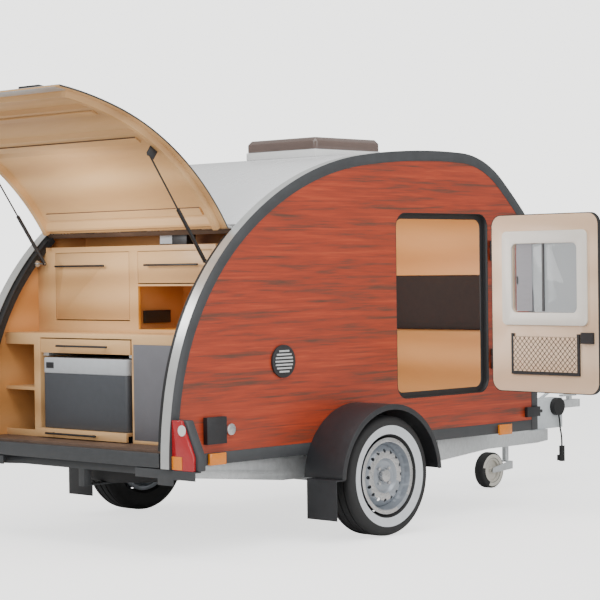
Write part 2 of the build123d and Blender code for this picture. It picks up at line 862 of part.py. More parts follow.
def makeDoor(name):
    """One cabin door, built shut on the near side, as a dictionary of pieces."""
    y_span = (-half_width, -half_width + leaf_thick)
    inner_y = y_span[1]
    through = grown(y_span, overrun)
    corner = door_corner - leaf_margin
    whole = rounded(leaf_x, leaf_z, y_span, corner)
    inner = rounded(grown(leaf_x, -door_lining), grown(leaf_z, -door_lining), through, corner - door_lining)
    window_x = (leaf_x[1] - window_side_gap - window_wide, leaf_x[1] - window_side_gap)
    window_z = (leaf_z[1] - window_top_gap - window_high, leaf_z[1] - window_top_gap)
    hole_x, hole_z = grown(window_x, -window_frame_wide), grown(window_z, -window_frame_wide)
    hole = rounded(hole_x, hole_z, through, window_corner)
    edge = whole - inner
    for z in door_hinge_zs:
        edge += makeDoorHalfHinge(z)
    glass = rounded(hole_x, hole_z, (inner_y - 3 * glass_thick, inner_y - 2 * glass_thick), window_corner)
    frame = rounded(window_x, window_z, (inner_y, inner_y + window_frame_thick), window_corner)
    pocket_x = (leaf_x[1] - pocket_front_gap - pocket_wide, leaf_x[1] - pocket_front_gap)
    pocket_z = (leaf_z[0] + pocket_low_gap, leaf_z[0] + pocket_low_gap + pocket_high)
    pocket = block(pocket_x, (inner_y, inner_y + pocket_deep), pocket_z)
    mesh_x = grown(pocket_x, -pocket_rim)
    pocket -= block(mesh_x, through, (pocket_z[0] + pocket_rim, pocket_z[1] + overrun))
    mesh_y = (inner_y + pocket_deep / 2, inner_y + pocket_deep)
    pocket += block(mesh_x, mesh_y, (pocket_z[0] + pocket_rim, pocket_z[1] - pocket_rim))
    latch_x = leaf_x[0] + door_lip
    latch_z = leaf_z[0] + latch_low_gap
    latch = block(
        (latch_x, latch_x + latch_long), (inner_y, inner_y + latch_deep), (latch_z, latch_z + latch_high))
    pieces = {
        "door": (whole & inner) - hole,
        "door_edge": Compound([*edge.solids(), *pocket.solids(), *latch.solids()]),
        "door_window": Compound([*(frame - hole).solids(), *glass.solids()]),
    }
    return {key + "_" + name: piece for key, piece in pieces.items()}


def makeDoors():
    """Both doors, their frames and the fixed hinge halves."""
    axis = Axis((door_hinge_x, -door_hinge_y, 0), (0, 0, 1))
    for key, piece in makeDoor("near").items():
        made[key] = piece.rotate(axis, door_swing)
    for key, piece in makeDoor("far").items():
        made[key] = mirrored(piece)
    depth = (-half_width, -side_in_y + door_frame_in)
    through = grown(depth, overrun)
    lining = makeDoorway(0, depth) - makeDoorway(door_lining, through)
    lip = makeDoorway(0, (depth[1] - door_lip_thick, depth[1])) - makeDoorway(door_lip, through)
    frame = lining + lip
    plate_y = (-half_width - door_strap_thick, -half_width)
    hinges = None
    for z in door_hinge_zs:
        for end in (-1, 1):
            middle = z + end * (door_knuckle_high + seal_ease)
            span = (middle - door_knuckle_high / 2, middle + door_knuckle_high / 2)
            hinge = upright(span, door_knuckle_radius)
            hinge += block((door_hinge_x, door_hinge_x + door_knuckle_radius),
                (-door_hinge_y, plate_y[0]), span)
            hinge += block((door_hinge_x, door_hinge_x + door_strap_long / 2), plate_y, span)
            hinges = hinge if hinges is None else hinges + hinge
        hinges += upright((z - door_knuckle_high, z + door_knuckle_high), door_pin_radius)
    made["door_frames"] = Compound([*both(frame).solids(), *both(hinges).solids()])


def makeTyre():
    """Hollow tyre about the origin, its beads open to the rim."""
    half = tyre_width / 2
    seat = rim_lip_radius + part_gap
    middle = (bead_radius + tyre_radius) / 2
    shoulder, flank = tyre_radius - tyre_wall, half - tyre_wall
    crown = flank - tyre_wall
    bend = tyre_radius - tyre_wall / 4
    inner = flank - tyre_wall / 2
    section = [
        Line((bead_radius, -bead_half), (seat, -bead_half)),
        ThreePointArc((seat, -bead_half), (middle, -half), (shoulder, -flank)),
        ThreePointArc((shoulder, -flank), (bend, -(flank + crown) / 2), (tyre_radius, -crown)),
        Line((tyre_radius, -crown), (tyre_radius, crown)),
        ThreePointArc((tyre_radius, crown), (bend, (flank + crown) / 2), (shoulder, flank)),
        ThreePointArc((shoulder, flank), (middle, half), (seat, bead_half)),
        Line((seat, bead_half), (bead_radius, bead_half)),
        Line((bead_radius, bead_half), (bead_radius, bead_half - tyre_wall)),
        Line((bead_radius, bead_half - tyre_wall), (seat, bead_half - tyre_wall)),
        Line((seat, bead_half - tyre_wall), (middle, half - tyre_wall)),
        Line((middle, half - tyre_wall), (shoulder - tyre_wall, inner)),
        Line((shoulder - tyre_wall, inner), (shoulder - tyre_wall, -inner)),
        Line((shoulder - tyre_wall, -inner), (middle, -half + tyre_wall)),
        Line((middle, -half + tyre_wall), (seat, -bead_half + tyre_wall)),
        Line((seat, -bead_half + tyre_wall), (bead_radius, -bead_half + tyre_wall)),
        Line((bead_radius, -bead_half + tyre_wall), (bead_radius, -bead_half)),
    ]
    return revolve(make_face(section), Axis.Y)


def makeRim():
    """Pressed steel rim about the origin, outer side towards -Y."""
    seat = bead_radius - seat_gap
    flange = bead_half + seat_gap
    lip = flange + rim_thick
    step = flange - rim_seat_wide
    drop = rim_drop_radius
    outer = [
        (rim_lip_radius, -lip), (rim_lip_radius, -flange), (seat, -flange), (seat, -step),
            (drop, -rim_drop_half),
        (drop, rim_drop_half), (seat, step), (seat, flange), (rim_lip_radius, flange), (rim_lip_radius, lip),
    ]
    inner = [
        (seat - rim_thick, lip), (seat - rim_thick, step), (drop - rim_thick, rim_drop_half),
        (drop - rim_thick, -rim_drop_half), (seat - rim_thick, -step), (seat - rim_thick, -lip),
    ]
    barrel = revolve(make_face(Polyline(*outer, *inner, close=True)), Axis.Y)
    crown = -disc_out - disc_crown
    foot = -disc_out + disc_crown
    root = drop - rim_thick / 2
    dish = [
        (hub_radius, -disc_out + rim_thick), (hub_radius, -disc_out),
            (hub_dish_radius - rim_thick, -disc_out),
        (hub_dish_radius + 2 * rim_thick, crown), (rim_hole_ring, crown), (root, foot), (root, 0),
        (root - rim_thick, 0), (root - rim_thick, foot + rim_thick / 2), (rim_hole_ring, crown + rim_thick),
        (hub_dish_radius + 3 * rim_thick, crown + rim_thick),
            (hub_dish_radius - rim_thick / 2, -disc_out + rim_thick),
    ]
    disc = revolve(make_face(Polyline(*dish, close=True)), Axis.Y)
    for number in range(rim_hole_count):
        turn = 2 * math.pi * number / rim_hole_count
        spot = Vector(math.cos(turn), math.sin(turn)) * rim_hole_ring
        disc -= across(spot.X, spot.Y, (-disc_out - overrun, 0), rim_hole_radius)
    return barrel + disc


def makeHub():
    """Hub with brake drum, bolts and cap about the origin."""
    flange_y = -disc_out + rim_thick
    hub = across(0, 0, (flange_y, flange_y + drum_wide), drum_radius)
    hub += across(0, 0, (-disc_out - cap_out, flange_y), cap_radius)
    for number in range(bolt_count):
        turn = 2 * math.pi * (number + 1 / 2) / bolt_count
        spot = Vector(math.cos(turn), math.sin(turn)) * bolt_circle
        hub += across(spot.X, spot.Y, (-disc_out - bolt_out, -disc_out), bolt_radius)
    return hub - across(0, 0, (-disc_out - cap_out / 2, overrun), stub_radius + stub_gap)


def makeWheels():
    """Road wheels, spare wheel and the axle that carries them."""
    tyre = makeTyre()
    rim = makeRim()
    place = Pos(0, -wheel_y, tyre_radius)
    for key, piece in {"tyre": tyre, "rim": rim + makeHub()}.items():
        made[key + "_near"] = place * piece
        made[key + "_far"] = mirrored(place * piece)
    lying = Pos(spare_x, 0, spare_low_z + tyre_width / 2) * Rot(90, 0, 0)
    made["spare_wheel"] = lying * Compound([*tyre.solids(), *rim.solids()])

    half, tube_z = axle_size / 2, axle_z
    tube = block((axle_forward - half, axle_forward + half), (-arm_y, arm_y), (tube_z - half, tube_z + half))
    arm_y_span = (-arm_y - arm_thick, -arm_y)
    swing = arm_high / 2
    arm = across(axle_forward, tube_z, arm_y_span, swing) + across(0, tyre_radius, arm_y_span, swing)
    arm += panel(
        ((0, tyre_radius - swing), (axle_forward, tube_z - swing),
         (axle_forward, tube_z + swing), (0, tyre_radius + swing)), arm_y_span)
    arm += across(0, tyre_radius, (arm_y_span[0] - spindle_long, arm_y_span[0]), spindle_radius)
    arm += across(0, tyre_radius, (-wheel_y - disc_out - rim_thick, -arm_y), stub_radius)
    made["axle"] = tube + arm + mirrored(arm)


def makeFenders():
    """Mudguards over the wheels and the flaps behind them."""
    y_span = (-fender_out_y, -half_width - seat_gap)
    through = grown(y_span, overrun)
    x, z = fender_ahead, fender_mid_z
    shell = across(x, z, y_span, fender_radius) - across(x, z, through, fender_radius - fender_wall)
    lip = across(x, z, (y_span[0], y_span[0] + fender_wall), fender_radius)
    web = across(x, z, (y_span[1] - fender_wall, y_span[1]), fender_radius)
    rings = (lip + web) - across(x, z, through, fender_radius - fender_lip)
    reach = 2 * fender_radius
    above = block((-reach, reach), through, (fender_low_z, fender_low_z + reach))
    guards = both((shell + rings) & above)
    flap_y = (-wheel_y - flap_wide / 2, -wheel_y + flap_wide / 2)
    flap_top_z = fender_low_z - seat_gap
    end_x = fender_ahead - fender_radius
    rear = end_x - flap_back
    drop = block((rear, rear + flap_thick), flap_y, (flap_bottom_z, flap_top_z))
    drop += block((rear, end_x + fender_lip), flap_y, (flap_top_z - flap_bracket, flap_top_z))
    made["fenders"] = Compound([*guards.solids(), *both(drop).solids()])


def memberSpan(x):
    """Low and high edge of the frame's members at one place along the trailer."""
    for (rear, low, high), (ahead_x, ahead_low, ahead_high) in zip(member_stations, member_stations[1:]):
        if x <= ahead_x:
            share = (x - rear) / (ahead_x - rear)
            return (low + share * (ahead_low - low), high + share * (ahead_high - high))


def channel(start, end):
    """Box-section member between two (x, y) points, under the body."""
    run = Vector(*end) - Vector(*start)
    turn = math.degrees(math.atan2(run.Y, run.X))
    half = frame_wide / 2
    xs = [start[0], *(x for x, low, high in member_stations if start[0] < x < end[0]), end[0]]
    spots = [((x - start[0]) * run.length / run.X, *memberSpan(x)) for x in xs]
    outer = panel([(a, low) for a, low, high in spots] + [(a, high) for a, low,
        high in reversed(spots)], (-half, half))
    (first, first_low, first_high), (last, last_low, last_high) = spots[0], spots[-1]
    spots = [(first - overrun, first_low, first_high), *spots, (last + overrun, last_low, last_high)]
    lows = [(a, low + frame_wall) for a, low, high in spots]
    highs = [(a, high - frame_wall) for a, low, high in reversed(spots)]
    inner = panel(lows + highs, (-half + frame_wall, half - frame_wall))
    return Pos(start[0], start[1], 0) * Rot(0, 0, turn) * (outer - inner)


def makeChassis():
    """Galvanised frame: side members, drawbar legs, cross members and what is bolted to them."""
    half = frame_wide / 2
    frame = channel((frame_rear_x, -frame_y), (leg_start_x, -frame_y))
    frame += channel((leg_start_x, -frame_y), (leg_end_x, -leg_end_y))
    axle_half = axle_size / 2
    frame += block(
        (axle_forward - axle_size, axle_forward + axle_size), (-frame_y - half, -frame_y + half),
        (frame_low_z - axle_size, frame_low_z)) - block(
        (axle_forward - axle_half - seat_gap, axle_forward + axle_half + seat_gap), (-half_width, 0),
        (0, frame_low_z - seat_gap))
    frame += makeLampRail()
    frame += mirrored(frame)
    for x in (*cross_xs, jockey_x):
        reach = min(frame_y, legCentre(x))
        low, high = memberSpan(x)
        z_span = (low + 2 * frame_wall, high - 2 * frame_wall)
        deep = half if x != jockey_x else jockey_outer_radius + carrier_thick
        frame += block((x - deep, x + deep), (-reach, reach), z_span)
    frame -= bar((jockey_x, 0, 0), (jockey_x, 0, jockey_top_z), jockey_outer_radius + seat_gap)
    carrier_z = (spare_low_z - carrier_thick - tyre_bulge, spare_low_z - tyre_bulge)
    carrier_y = (-carrier_wide / 2, carrier_wide / 2)
    frame += block((cross_xs[0] - half, cross_xs[1] + half), carrier_y, carrier_z)
    for x in cross_xs[:2]:
        frame += block((x - half, x + half), carrier_y, (carrier_z[0], frame_top_z - 2 * frame_wall))
    made["chassis"] = frame


def legCentre(x):
    """Distance of a drawbar leg's middle from the centre line."""
    return frame_y - (x - leg_start_x) * (frame_y - leg_end_y) / (leg_end_x - leg_start_x)


def makeLampRail():
    """Rail and plate under the rear edge that carry one tail lamp."""
    face, low = lamp_face_x, lamp_low_z - seat_gap
    thick = lamp_rail_thick
    rail_y = (-wheel_y, -lamp_rail_in_y)
    rail = block((face, face + lamp_rail_wide), rail_y, (low - thick, low))
    rail += block((face, face + thick), rail_y, (low - lamp_rail_high, low))
    plate_y = (-half_width - thick, -half_width - thick + lamp_plate_wide)
    rail += block((face, face + thick), plate_y, (low - lamp_plate_high, low))
    half = frame_wide / 2
    return rail + block(
        (face, frame_rear_x), (-frame_y - half, -frame_y + half), (low - lamp_rail_high, low - thick))


def makeCoupling():
    """Overrun housing, draw tube, coupling head with its socket, and brake lever."""
    half = housing_wide / 2
    tube_z = housing_high_z - half
    housing = block((housing_rear_x, housing_front_x), (-half, half), (housing_low_z, housing_high_z))
    mouth = (housing_front_x + overrun, 0, tube_z)
    housing -= bar((housing_rear_x + board, 0, tube_z), mouth, draw_tube_radius + seat_gap)
    lever_foot = Vector(housing_front_x - grip_long, half + lever_radius - seat_gap,
        housing_high_z - grip_wide)
    rise = math.radians(lever_turn)
    lever_head = lever_foot + Vector(math.cos(rise), 0, math.sin(rise)) * lever_long
    lever = bar(lever_foot + Vector(0, 2 * seat_gap, 0), lever_head, lever_radius)
    made["overrun_housing"] = Compound([*housing.solids(), *lever.solids()])

    head_top = ball_z + ball_radius + head_wall
    radius = ball_radius + head_wall
    low = ball_z - socket_deep / 2
    head = bar((ball_x, 0, low), (ball_x, 0, head_top), radius)
    neck_half = radius - part_gap
    head += block((head_rear_x, ball_x), (-neck_half, neck_half), (low, head_top))
    head -= bar((ball_x, 0, low - overrun), (ball_x, 0, low + socket_deep), ball_radius)
    head += bar((housing_rear_x + 2 * board, 0, tube_z), (head_rear_x + head_overlap, 0, tube_z),
        draw_tube_radius)
    grip_z = head_top + grip_lift
    grip_half = grip_wide / 2
    head += block((ball_x - grip_long, ball_x), (-grip_half, grip_half), (grip_z, grip_z + grip_thick))
    head += block((ball_x - grip_long / 2, ball_x - grip_long / 3), (-grip_half, grip_half),
        (head_top, grip_z))
    made["coupling_head"] = head


def makeJockey():
    """Jockey wheel: outer tube with crank, winding stem, swivelling fork and wheel."""
    x, top = jockey_x, jockey_top_z
    tube = bar((x, 0, jockey_outer_low_z), (x, 0, top), jockey_outer_radius)
    tube -= bar((x, 0, jockey_outer_low_z - overrun), (x, 0, top - part_gap), jockey_tube_radius + seat_gap)
    crank_z = top + 2 * crank_radius
    tube += bar((x, 0, top), (x, 0, crank_z), crank_radius)
    tube += bar((x, 0, crank_z), (x + crank_long, 0, crank_z), crank_radius)
    tube += bar((x + crank_long, 0, crank_z), (x + crank_long, 0, crank_z + crank_knob_long), crank_radius)
    made["jockey_tube"] = tube
    stem_top = top - jockey_travel - 2 * part_gap
    stem = bar((x, 0, jockey_stem_low_z), (x, 0, stem_top), jockey_tube_radius)
    socket_top = jockey_stem_low_z + jockey_pin_long
    stem -= bar((x, 0, 0), (x, 0, socket_top), jockey_inner_radius + seat_gap)
    made["jockey_stem"] = stem

    half = jockey_wide / 2
    cheek_y = (half + part_gap, half + part_gap + jockey_fork_thick)
    reach, high = jockey_tube_radius, jockey_fork_high / 2
    crown_z = jockey_stem_low_z - part_gap
    cheek = panel(
        ((jockey_wheel_x - high, jockey_radius - high), (jockey_wheel_x - high, jockey_radius + high),
         (x - reach, crown_z), (x + reach, crown_z), (x + reach, jockey_fork_low_z),
         (jockey_wheel_x + high, jockey_radius - high)), cheek_y)
    fork = cheek + mirrored(cheek)
    fork += block((x - reach, x + reach), (-cheek_y[1], cheek_y[1]), (crown_z - jockey_fork_thick, crown_z))
    fork += bar((x, 0, crown_z - jockey_fork_thick), (x, 0, socket_top - part_gap), jockey_inner_radius)
    fork += across(jockey_wheel_x, jockey_radius, (-cheek_y[1], cheek_y[1]), jockey_axle_radius)
    made["jockey_fork"] = fork

    wheel = across(jockey_wheel_x, jockey_radius, (-half, half), jockey_radius)
    wheel = fillet(wheel.edges().filter_by(GeomType.CIRCLE), 2 * part_gap)
    wide = (-half - overrun, half + overrun)
    tread = wheel - across(jockey_wheel_x, jockey_radius, wide, jockey_rim_radius)
    rim_half = half - part_gap
    web_half = rim_half / 3
    rim = across(jockey_wheel_x, jockey_radius, (-rim_half, rim_half), jockey_rim_radius - seat_gap)
    for y_span in ((-half, -web_half), (web_half, half)):
        rim -= across(jockey_wheel_x, jockey_radius, y_span, jockey_rim_radius - 2 * part_gap)
    rim += across(jockey_wheel_x, jockey_radius, (-rim_half, rim_half), 3 * jockey_axle_radius)
    rim -= across(jockey_wheel_x, jockey_radius, wide, jockey_axle_radius + seat_gap)
    made["jockey_wheel"] = Compound([*tread.solids(), *rim.solids()])


def makeLamps():
    """Tail lamps at the rear corners, and the side markers."""
    face = lamp_face_x
    wall = -half_width - trim_thick - seat_gap
    shift = lamp_wide - lamp_lens_wide
    slope_z = lamp_low_z + lamp_slope_low
    lens_points = (
        (wall, lamp_low_z), (wall - lamp_lens_wide, lamp_low_z), (wall - lamp_lens_wide, slope_z),
        (wall - lamp_top_wide, lamp_high_z), (wall, lamp_high_z),
    )
    case_points = (
        (wall, lamp_low_z), (wall - lamp_wide, lamp_low_z), (wall - lamp_wide, slope_z),
        (wall - lamp_top_wide - shift, lamp_high_z), (wall, lamp_high_z),
    )
    lens = extrude(Plane.YZ * make_face(Polyline(*lens_points, close=True)), lens_thick)
    case = extrude(Plane.YZ * make_face(Polyline(*case_points, close=True)), lamp_deep - lens_thick)
    made["tail_cases"] = both(Pos(face + lens_thick, 0, 0) * case)
    markers = []
    for x, z in zip(marker_xs, marker_zs):
        marker = block(
            (x - marker_wide / 2, x + marker_wide / 2), (-half_width - marker_deep, -half_width - seat_gap),
            (z - marker_high / 2, z + marker_high / 2))
        markers += [*marker.solids(), *mirrored(marker).solids()]
    made["tail_lenses"] = Compound([*both(Pos(face, 0, 0) * lens).solids(), *markers])


def makeFittings():
    """Round vent, mains inlet, lock and door retainer on the near side."""
    wall = -half_width - seat_gap
    vent = across(vent_x, vent_z, (wall - vent_deep, wall), vent_radius)
    half = inlet_size / 2
    inlet = block(
        (inlet_x - half, inlet_x + half), (wall - inlet_deep, wall), (inlet_z - half, inlet_z + half))
    lock = across(lock_x, lock_z, (wall - lock_deep, wall), lock_radius)
    wall -= trim_thick
    back = retainer_x - retainer_long / 2
    front = back + retainer_long
    retainer = block(
        (back, front), (wall - retainer_deep, wall),
            (retainer_z - retainer_high / 2, retainer_z + retainer_high / 2))
    catch_y = wall - retainer_deep / 2
    retainer += bar(
        (front - retainer_radius, catch_y, retainer_z), (front + retainer_radius, catch_y, retainer_z),
        retainer_deep / 2)
    made["side_fittings"] = Compound(
        [solid for piece in (vent, inlet, lock, retainer) for solid in piece.solids()])


def makeRoofVent():
    """Square roof vent: frame and low smoky dome."""
    half = roof_vent_size / 2
    x_span = (roof_vent_x - half, roof_vent_x + half)
    hole_x, hole_y = grown(x_span, -roof_vent_edge), (-half + roof_vent_edge, half - roof_vent_edge)
    top_z = body_low_z + body_height + roof_vent_base
    low_z = body_low_z + body_height - lining_deep - roof_vent_edge
    base = block(x_span, (-half, half), (low_z, top_z)) - slab(-seat_gap, (-half_width, half_width))
    made["roof_vent_frame"] = base - block(hole_x, hole_y, (low_z, top_z + overrun))
    dome = block(x_span, (-half, half), (top_z + seat_gap, top_z + roof_vent_dome))
    dome = fillet(dome.edges().filter_by(Axis.Z), roof_vent_edge)
    dome = chamfer(dome.faces().sort_by(Axis.Z)[-1].edges(), roof_vent_dome / 3)
    made["roof_vent_dome"] = dome - block(hole_x, hole_y, (top_z, top_z + roof_vent_dome / 3))


def makeCable():
    """Connecting cable: coil beside the overrun housing, hanging tube and plug."""
    points = [Vector(*spot) for spot in cable_route]
    side_y = -housing_wide / 2 - seat_gap
    made["cable_coil"] = across(coil_x, coil_z, (side_y - coil_thick, side_y), coil_radius)
    runs = [(b - a).length for a, b in zip(points, points[1:])]
    radii = []
    for before, spot, after, shorter in zip(points, points[1:], points[2:], map(min, runs, runs[1:])):
        turn = math.radians((spot - before).get_angle(after - spot))
        radii.append(cable_turn_share * shorter / math.tan(turn / 2))
    print("cable radii", [round(radius) for radius in radii])
    path = FilletPolyline(*points, radius=radii)
    tube = sweep(Plane(origin=points[0], z_dir=points[1] - points[0]) * Circle(cable_radius), path=path)
    print("cable volume against section times length",
        tube.volume / (path.length * math.pi * cable_radius ** 2))
    made["cable"] = tube
    end = points[-1]
    low_z = end.Z - plug_long
    plug = bar((end.X, end.Y, low_z), (end.X, end.Y, end.Z), plug_radius)
    plug += block(
        (end.X - 2 * plug_radius, end.X), (end.Y - plug_radius + part_gap, end.Y + plug_radius - part_gap),
        (low_z + part_gap, low_z + part_gap + plug_lid))
    made["plug"] = plug


makeShell()
makeCabin()
makeUpperCabinet()
makeLowerCabinet()
makeHatchHinge()
makeHatch()
for hatch_piece in ("hatch_skin", "hatch_frame", "hatch_fittings"):
    made[hatch_piece] = hatchAtRest(made[hatch_piece])
makeStruts()
makeDoors()
makeWheels()
makeFenders()
makeChassis()
makeCoupling()
makeJockey()
makeLamps()
makeFittings()
makeRoofVent()
makeCable()

# The ball socket is the reference point of the finished part
os.makedirs("parts", exist_ok=True)
for node, piece in made.items():
    export_step(Pos(-ball_x, 0, -ball_z) * piece, "parts/" + node + ".step")
print(len(made), "nodes")
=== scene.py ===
import json
import math

import bpy
from mathutils import Matrix, Vector

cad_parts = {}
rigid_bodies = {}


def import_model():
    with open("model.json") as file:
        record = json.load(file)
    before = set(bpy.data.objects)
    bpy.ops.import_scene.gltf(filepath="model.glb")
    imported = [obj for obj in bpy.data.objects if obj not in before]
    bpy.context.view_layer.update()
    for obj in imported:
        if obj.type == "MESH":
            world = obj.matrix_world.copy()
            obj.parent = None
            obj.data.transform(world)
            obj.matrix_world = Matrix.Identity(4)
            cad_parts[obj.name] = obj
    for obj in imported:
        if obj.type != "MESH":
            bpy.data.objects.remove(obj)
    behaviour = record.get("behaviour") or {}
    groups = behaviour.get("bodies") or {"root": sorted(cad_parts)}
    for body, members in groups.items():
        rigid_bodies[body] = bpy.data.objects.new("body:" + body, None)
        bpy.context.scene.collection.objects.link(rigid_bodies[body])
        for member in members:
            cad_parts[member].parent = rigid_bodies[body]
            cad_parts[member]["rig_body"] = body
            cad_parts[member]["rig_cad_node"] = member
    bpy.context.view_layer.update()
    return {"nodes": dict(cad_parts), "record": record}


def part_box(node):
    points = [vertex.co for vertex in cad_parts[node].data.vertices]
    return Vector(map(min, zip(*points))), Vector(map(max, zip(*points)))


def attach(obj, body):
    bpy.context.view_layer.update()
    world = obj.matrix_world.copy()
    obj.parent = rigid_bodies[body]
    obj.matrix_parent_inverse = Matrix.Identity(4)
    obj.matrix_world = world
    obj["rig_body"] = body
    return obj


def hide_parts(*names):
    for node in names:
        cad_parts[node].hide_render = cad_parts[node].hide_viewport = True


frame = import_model()
nodes = frame["nodes"]
print("frame loaded with", len(nodes), "nodes")

tyreLow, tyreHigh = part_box("tyre_near")
axleX = (tyreLow.x + tyreHigh.x) / 2
groundZ = tyreLow.z


def place(x, y, z):
    return Vector((axleX + x, y, groundZ + z))  # metres from the ground under the axle


# Camera at the photograph's angle
cameraView = dict(spot=(-7.2333, -7.3015, 1.2856), yaw=46.2317, dip=0.8967, roll=-0.7334, lens=121.02)


def makeCamera():
    yaw, dip, roll = (math.radians(cameraView[key]) for key in ("yaw", "dip", "roll"))
    ahead = Vector((math.sin(yaw) * math.cos(dip), math.cos(yaw) * math.cos(dip), -math.sin(dip)))
    right = Vector((math.cos(yaw), -math.sin(yaw), 0))
    upward = right.cross(ahead)
    tiltedRight = right * math.cos(roll) + upward * math.sin(roll)
    tiltedUp = upward * math.cos(roll) - right * math.sin(roll)
    camera = bpy.data.objects.new("camera", bpy.data.cameras.new("camera"))
    bpy.context.scene.collection.objects.link(camera)
    axes = Matrix((tiltedRight, tiltedUp, -ahead)).transposed().to_4x4()
    camera.matrix_world = Matrix.Translation(place(*cameraView["spot"])) @ axes
    camera.data.lens = cameraView["lens"]
    camera.data.clip_end = 400
    bpy.context.scene.camera = camera


# Working habits: selecting, adding, shaping and fitting pieces
def clearAll():
    if bpy.context.mode != "OBJECT":
        bpy.ops.object.mode_set(mode="OBJECT")
    bpy.ops.object.select_all(action="DESELECT")


def workOn(piece):
    clearAll()
    piece.select_set(True)
    bpy.context.view_layer.objects.active = piece


def editAll(piece):
    workOn(piece)
    bpy.ops.object.mode_set(mode="EDIT")
    bpy.ops.mesh.select_mode(type="FACE")
    bpy.ops.mesh.select_all(action="SELECT")


def fixPlace(piece, name):
    bpy.ops.object.transform_apply(location=True, rotation=True, scale=True)
    piece.name = name
    return piece


def addBlock(name, low, high):
    clearAll()
    low, high = Vector(low), Vector(high)
    bpy.ops.mesh.primitive_cube_add(size=1, location=(low + high) / 2)
    bpy.context.object.scale = high - low
    return fixPlace(bpy.context.object, name)


def addTube(name, start, end, radius, sides):
    clearAll()
    start, end = Vector(start), Vector(end)
    run = end - start
    turn = run.to_track_quat("Z", "Y").to_euler()
    bpy.ops.mesh.primitive_cylinder_add(
        vertices=sides, radius=radius, depth=run.length, location=(start + end) / 2, rotation=turn)
    return fixPlace(bpy.context.object, name)


def applyModifier(piece, kind, **settings):
    workOn(piece)
    bpy.ops.object.modifier_add(type=kind)
    modifier = piece.modifiers[-1]
    for key, value in settings.items():
        setattr(modifier, key, value)
    bpy.ops.object.modifier_apply(modifier=modifier.name)


def roundEdges(piece, width):
    applyModifier(piece, "BEVEL", width=width, segments=2, limit_method="ANGLE",
                  angle_limit=math.radians(35), harden_normals=False, use_clamp_overlap=True)


def smooth(piece, angle=35):
    workOn(piece)
    bpy.ops.object.shade_smooth_by_angle(angle=math.radians(angle))


def turnedShape(name, profile, centre, steps):
    # Lathe work about Y: the profile is a list of (radius, y) from the centre
    clearAll()
    bpy.ops.mesh.primitive_plane_add(size=0.01)
    piece = bpy.context.object
    bpy.ops.object.mode_set(mode="EDIT")
    bpy.ops.mesh.select_mode(type="VERT")
    bpy.ops.mesh.merge(type="CENTER")
    first = Vector((profile[0][0], profile[0][1], 0))
    bpy.ops.transform.translate(value=first)
    for before, after in zip(profile, profile[1:]):
        step = Vector((after[0] - before[0], after[1] - before[1], 0))
        bpy.ops.mesh.extrude_vertices_move(TRANSFORM_OT_translate={"value": step})
    bpy.ops.mesh.select_all(action="SELECT")
    bpy.ops.mesh.spin(steps=steps, angle=2 * math.pi, center=(0, 0, 0), axis=(0, 1, 0))
    bpy.ops.mesh.select_all(action="SELECT")
    bpy.ops.mesh.remove_doubles(threshold=0.00005)
    bpy.ops.mesh.normals_make_consistent(inside=False)
    bpy.ops.object.mode_set(mode="OBJECT")
    piece.location = centre
    return fixPlace(piece, name)


def joinAll(name, pieces):
    clearAll()
    for piece in pieces:
        piece.select_set(True)
    bpy.context.view_layer.objects.active = pieces[0]
    bpy.ops.object.join()
    pieces[0].name = name
    return pieces[0]


def copyOf(piece, name):
    workOn(piece)
    bpy.ops.object.duplicate()
    bpy.context.object.name = name
    return bpy.context.object


def wear(piece, finish):
    piece.data.materials.clear()
    piece.data.materials.append(finish)
    for face in piece.data.polygons:
        face.material_index = 0
    return piece


def paintFaces(piece, finish, test):
    piece.data.materials.append(finish)
    number = len(piece.data.materials) - 1
    for face in piece.data.polygons:
        if test(face.center, face.normal):
            face.material_index = number


def fit(piece, body, slotName, *replaced):
    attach(piece, body)
    if replaced:
        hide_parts(*replaced)
    return piece


def dressNode(node, finish, edge=0.0):
    # A cleaned copy of a CAD node with its edges rounded, which then stands for the node
    piece = copyOf(nodes[node], node + "_dressed")
    del piece["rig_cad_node"]
    editAll(piece)
    bpy.ops.mesh.remove_doubles(threshold=0.00001)
    bpy.ops.mesh.dissolve_limited(angle_limit=math.radians(0.5))
    bpy.ops.object.mode_set(mode="OBJECT")
    if edge:
        roundEdges(piece, edge)
    smooth(piece)
    wear(piece, finish)
    return fit(piece, nodes[node]["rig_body"], slotOf[node], node)


slotOf = {row["node"]: row["material_slot"] for row in frame["record"]["subparts"]}


# Finishes: a small set of node recipes
def newFinish(name, colour, roughness=0.5, metallic=0.0, sockets=None):
    finish = bpy.data.materials.new(name)
    finish.use_nodes = True
    shader = finish.node_tree.nodes["Principled BSDF"]
    shader.inputs["Base Color"].default_value = (*colour, 1)
    shader.inputs["Roughness"].default_value = roughness
    shader.inputs["Metallic"].default_value = metallic
    for socket, value in (sockets or {}).items():
        shader.inputs[socket].default_value = value
    return finish


def addNode(finish, kind, values=None, **settings):
    node = finish.node_tree.nodes.new(kind)
    for key, value in settings.items():
        setattr(node, key, value)
    for socket, value in (values or {}).items():
        node.inputs[socket].default_value = value
    return node


def wire(finish, source, output, target, socket):
    finish.node_tree.links.new(source.outputs[output], target.inputs[socket])


def patternSpace(finish, stretch):
    coords = addNode(finish, "ShaderNodeTexCoord")
    mapping = addNode(finish, "ShaderNodeMapping", {"Scale": stretch})
    wire(finish, coords, "Object", mapping, "Vector")
    return mapping


def addTones(finish, source, output, tones):
    ramp = addNode(finish, "ShaderNodeValToRGB")
    stops = ramp.color_ramp.elements
    while len(stops) < len(tones):
        stops.new(0.5)
    for stop, (spot, colour) in zip(stops, tones):
        stop.position = spot
        stop.color = (*colour, 1)
    wire(finish, source, output, ramp, "Fac")
    wire(finish, ramp, "Color", finish.node_tree.nodes["Principled BSDF"], "Base Color")


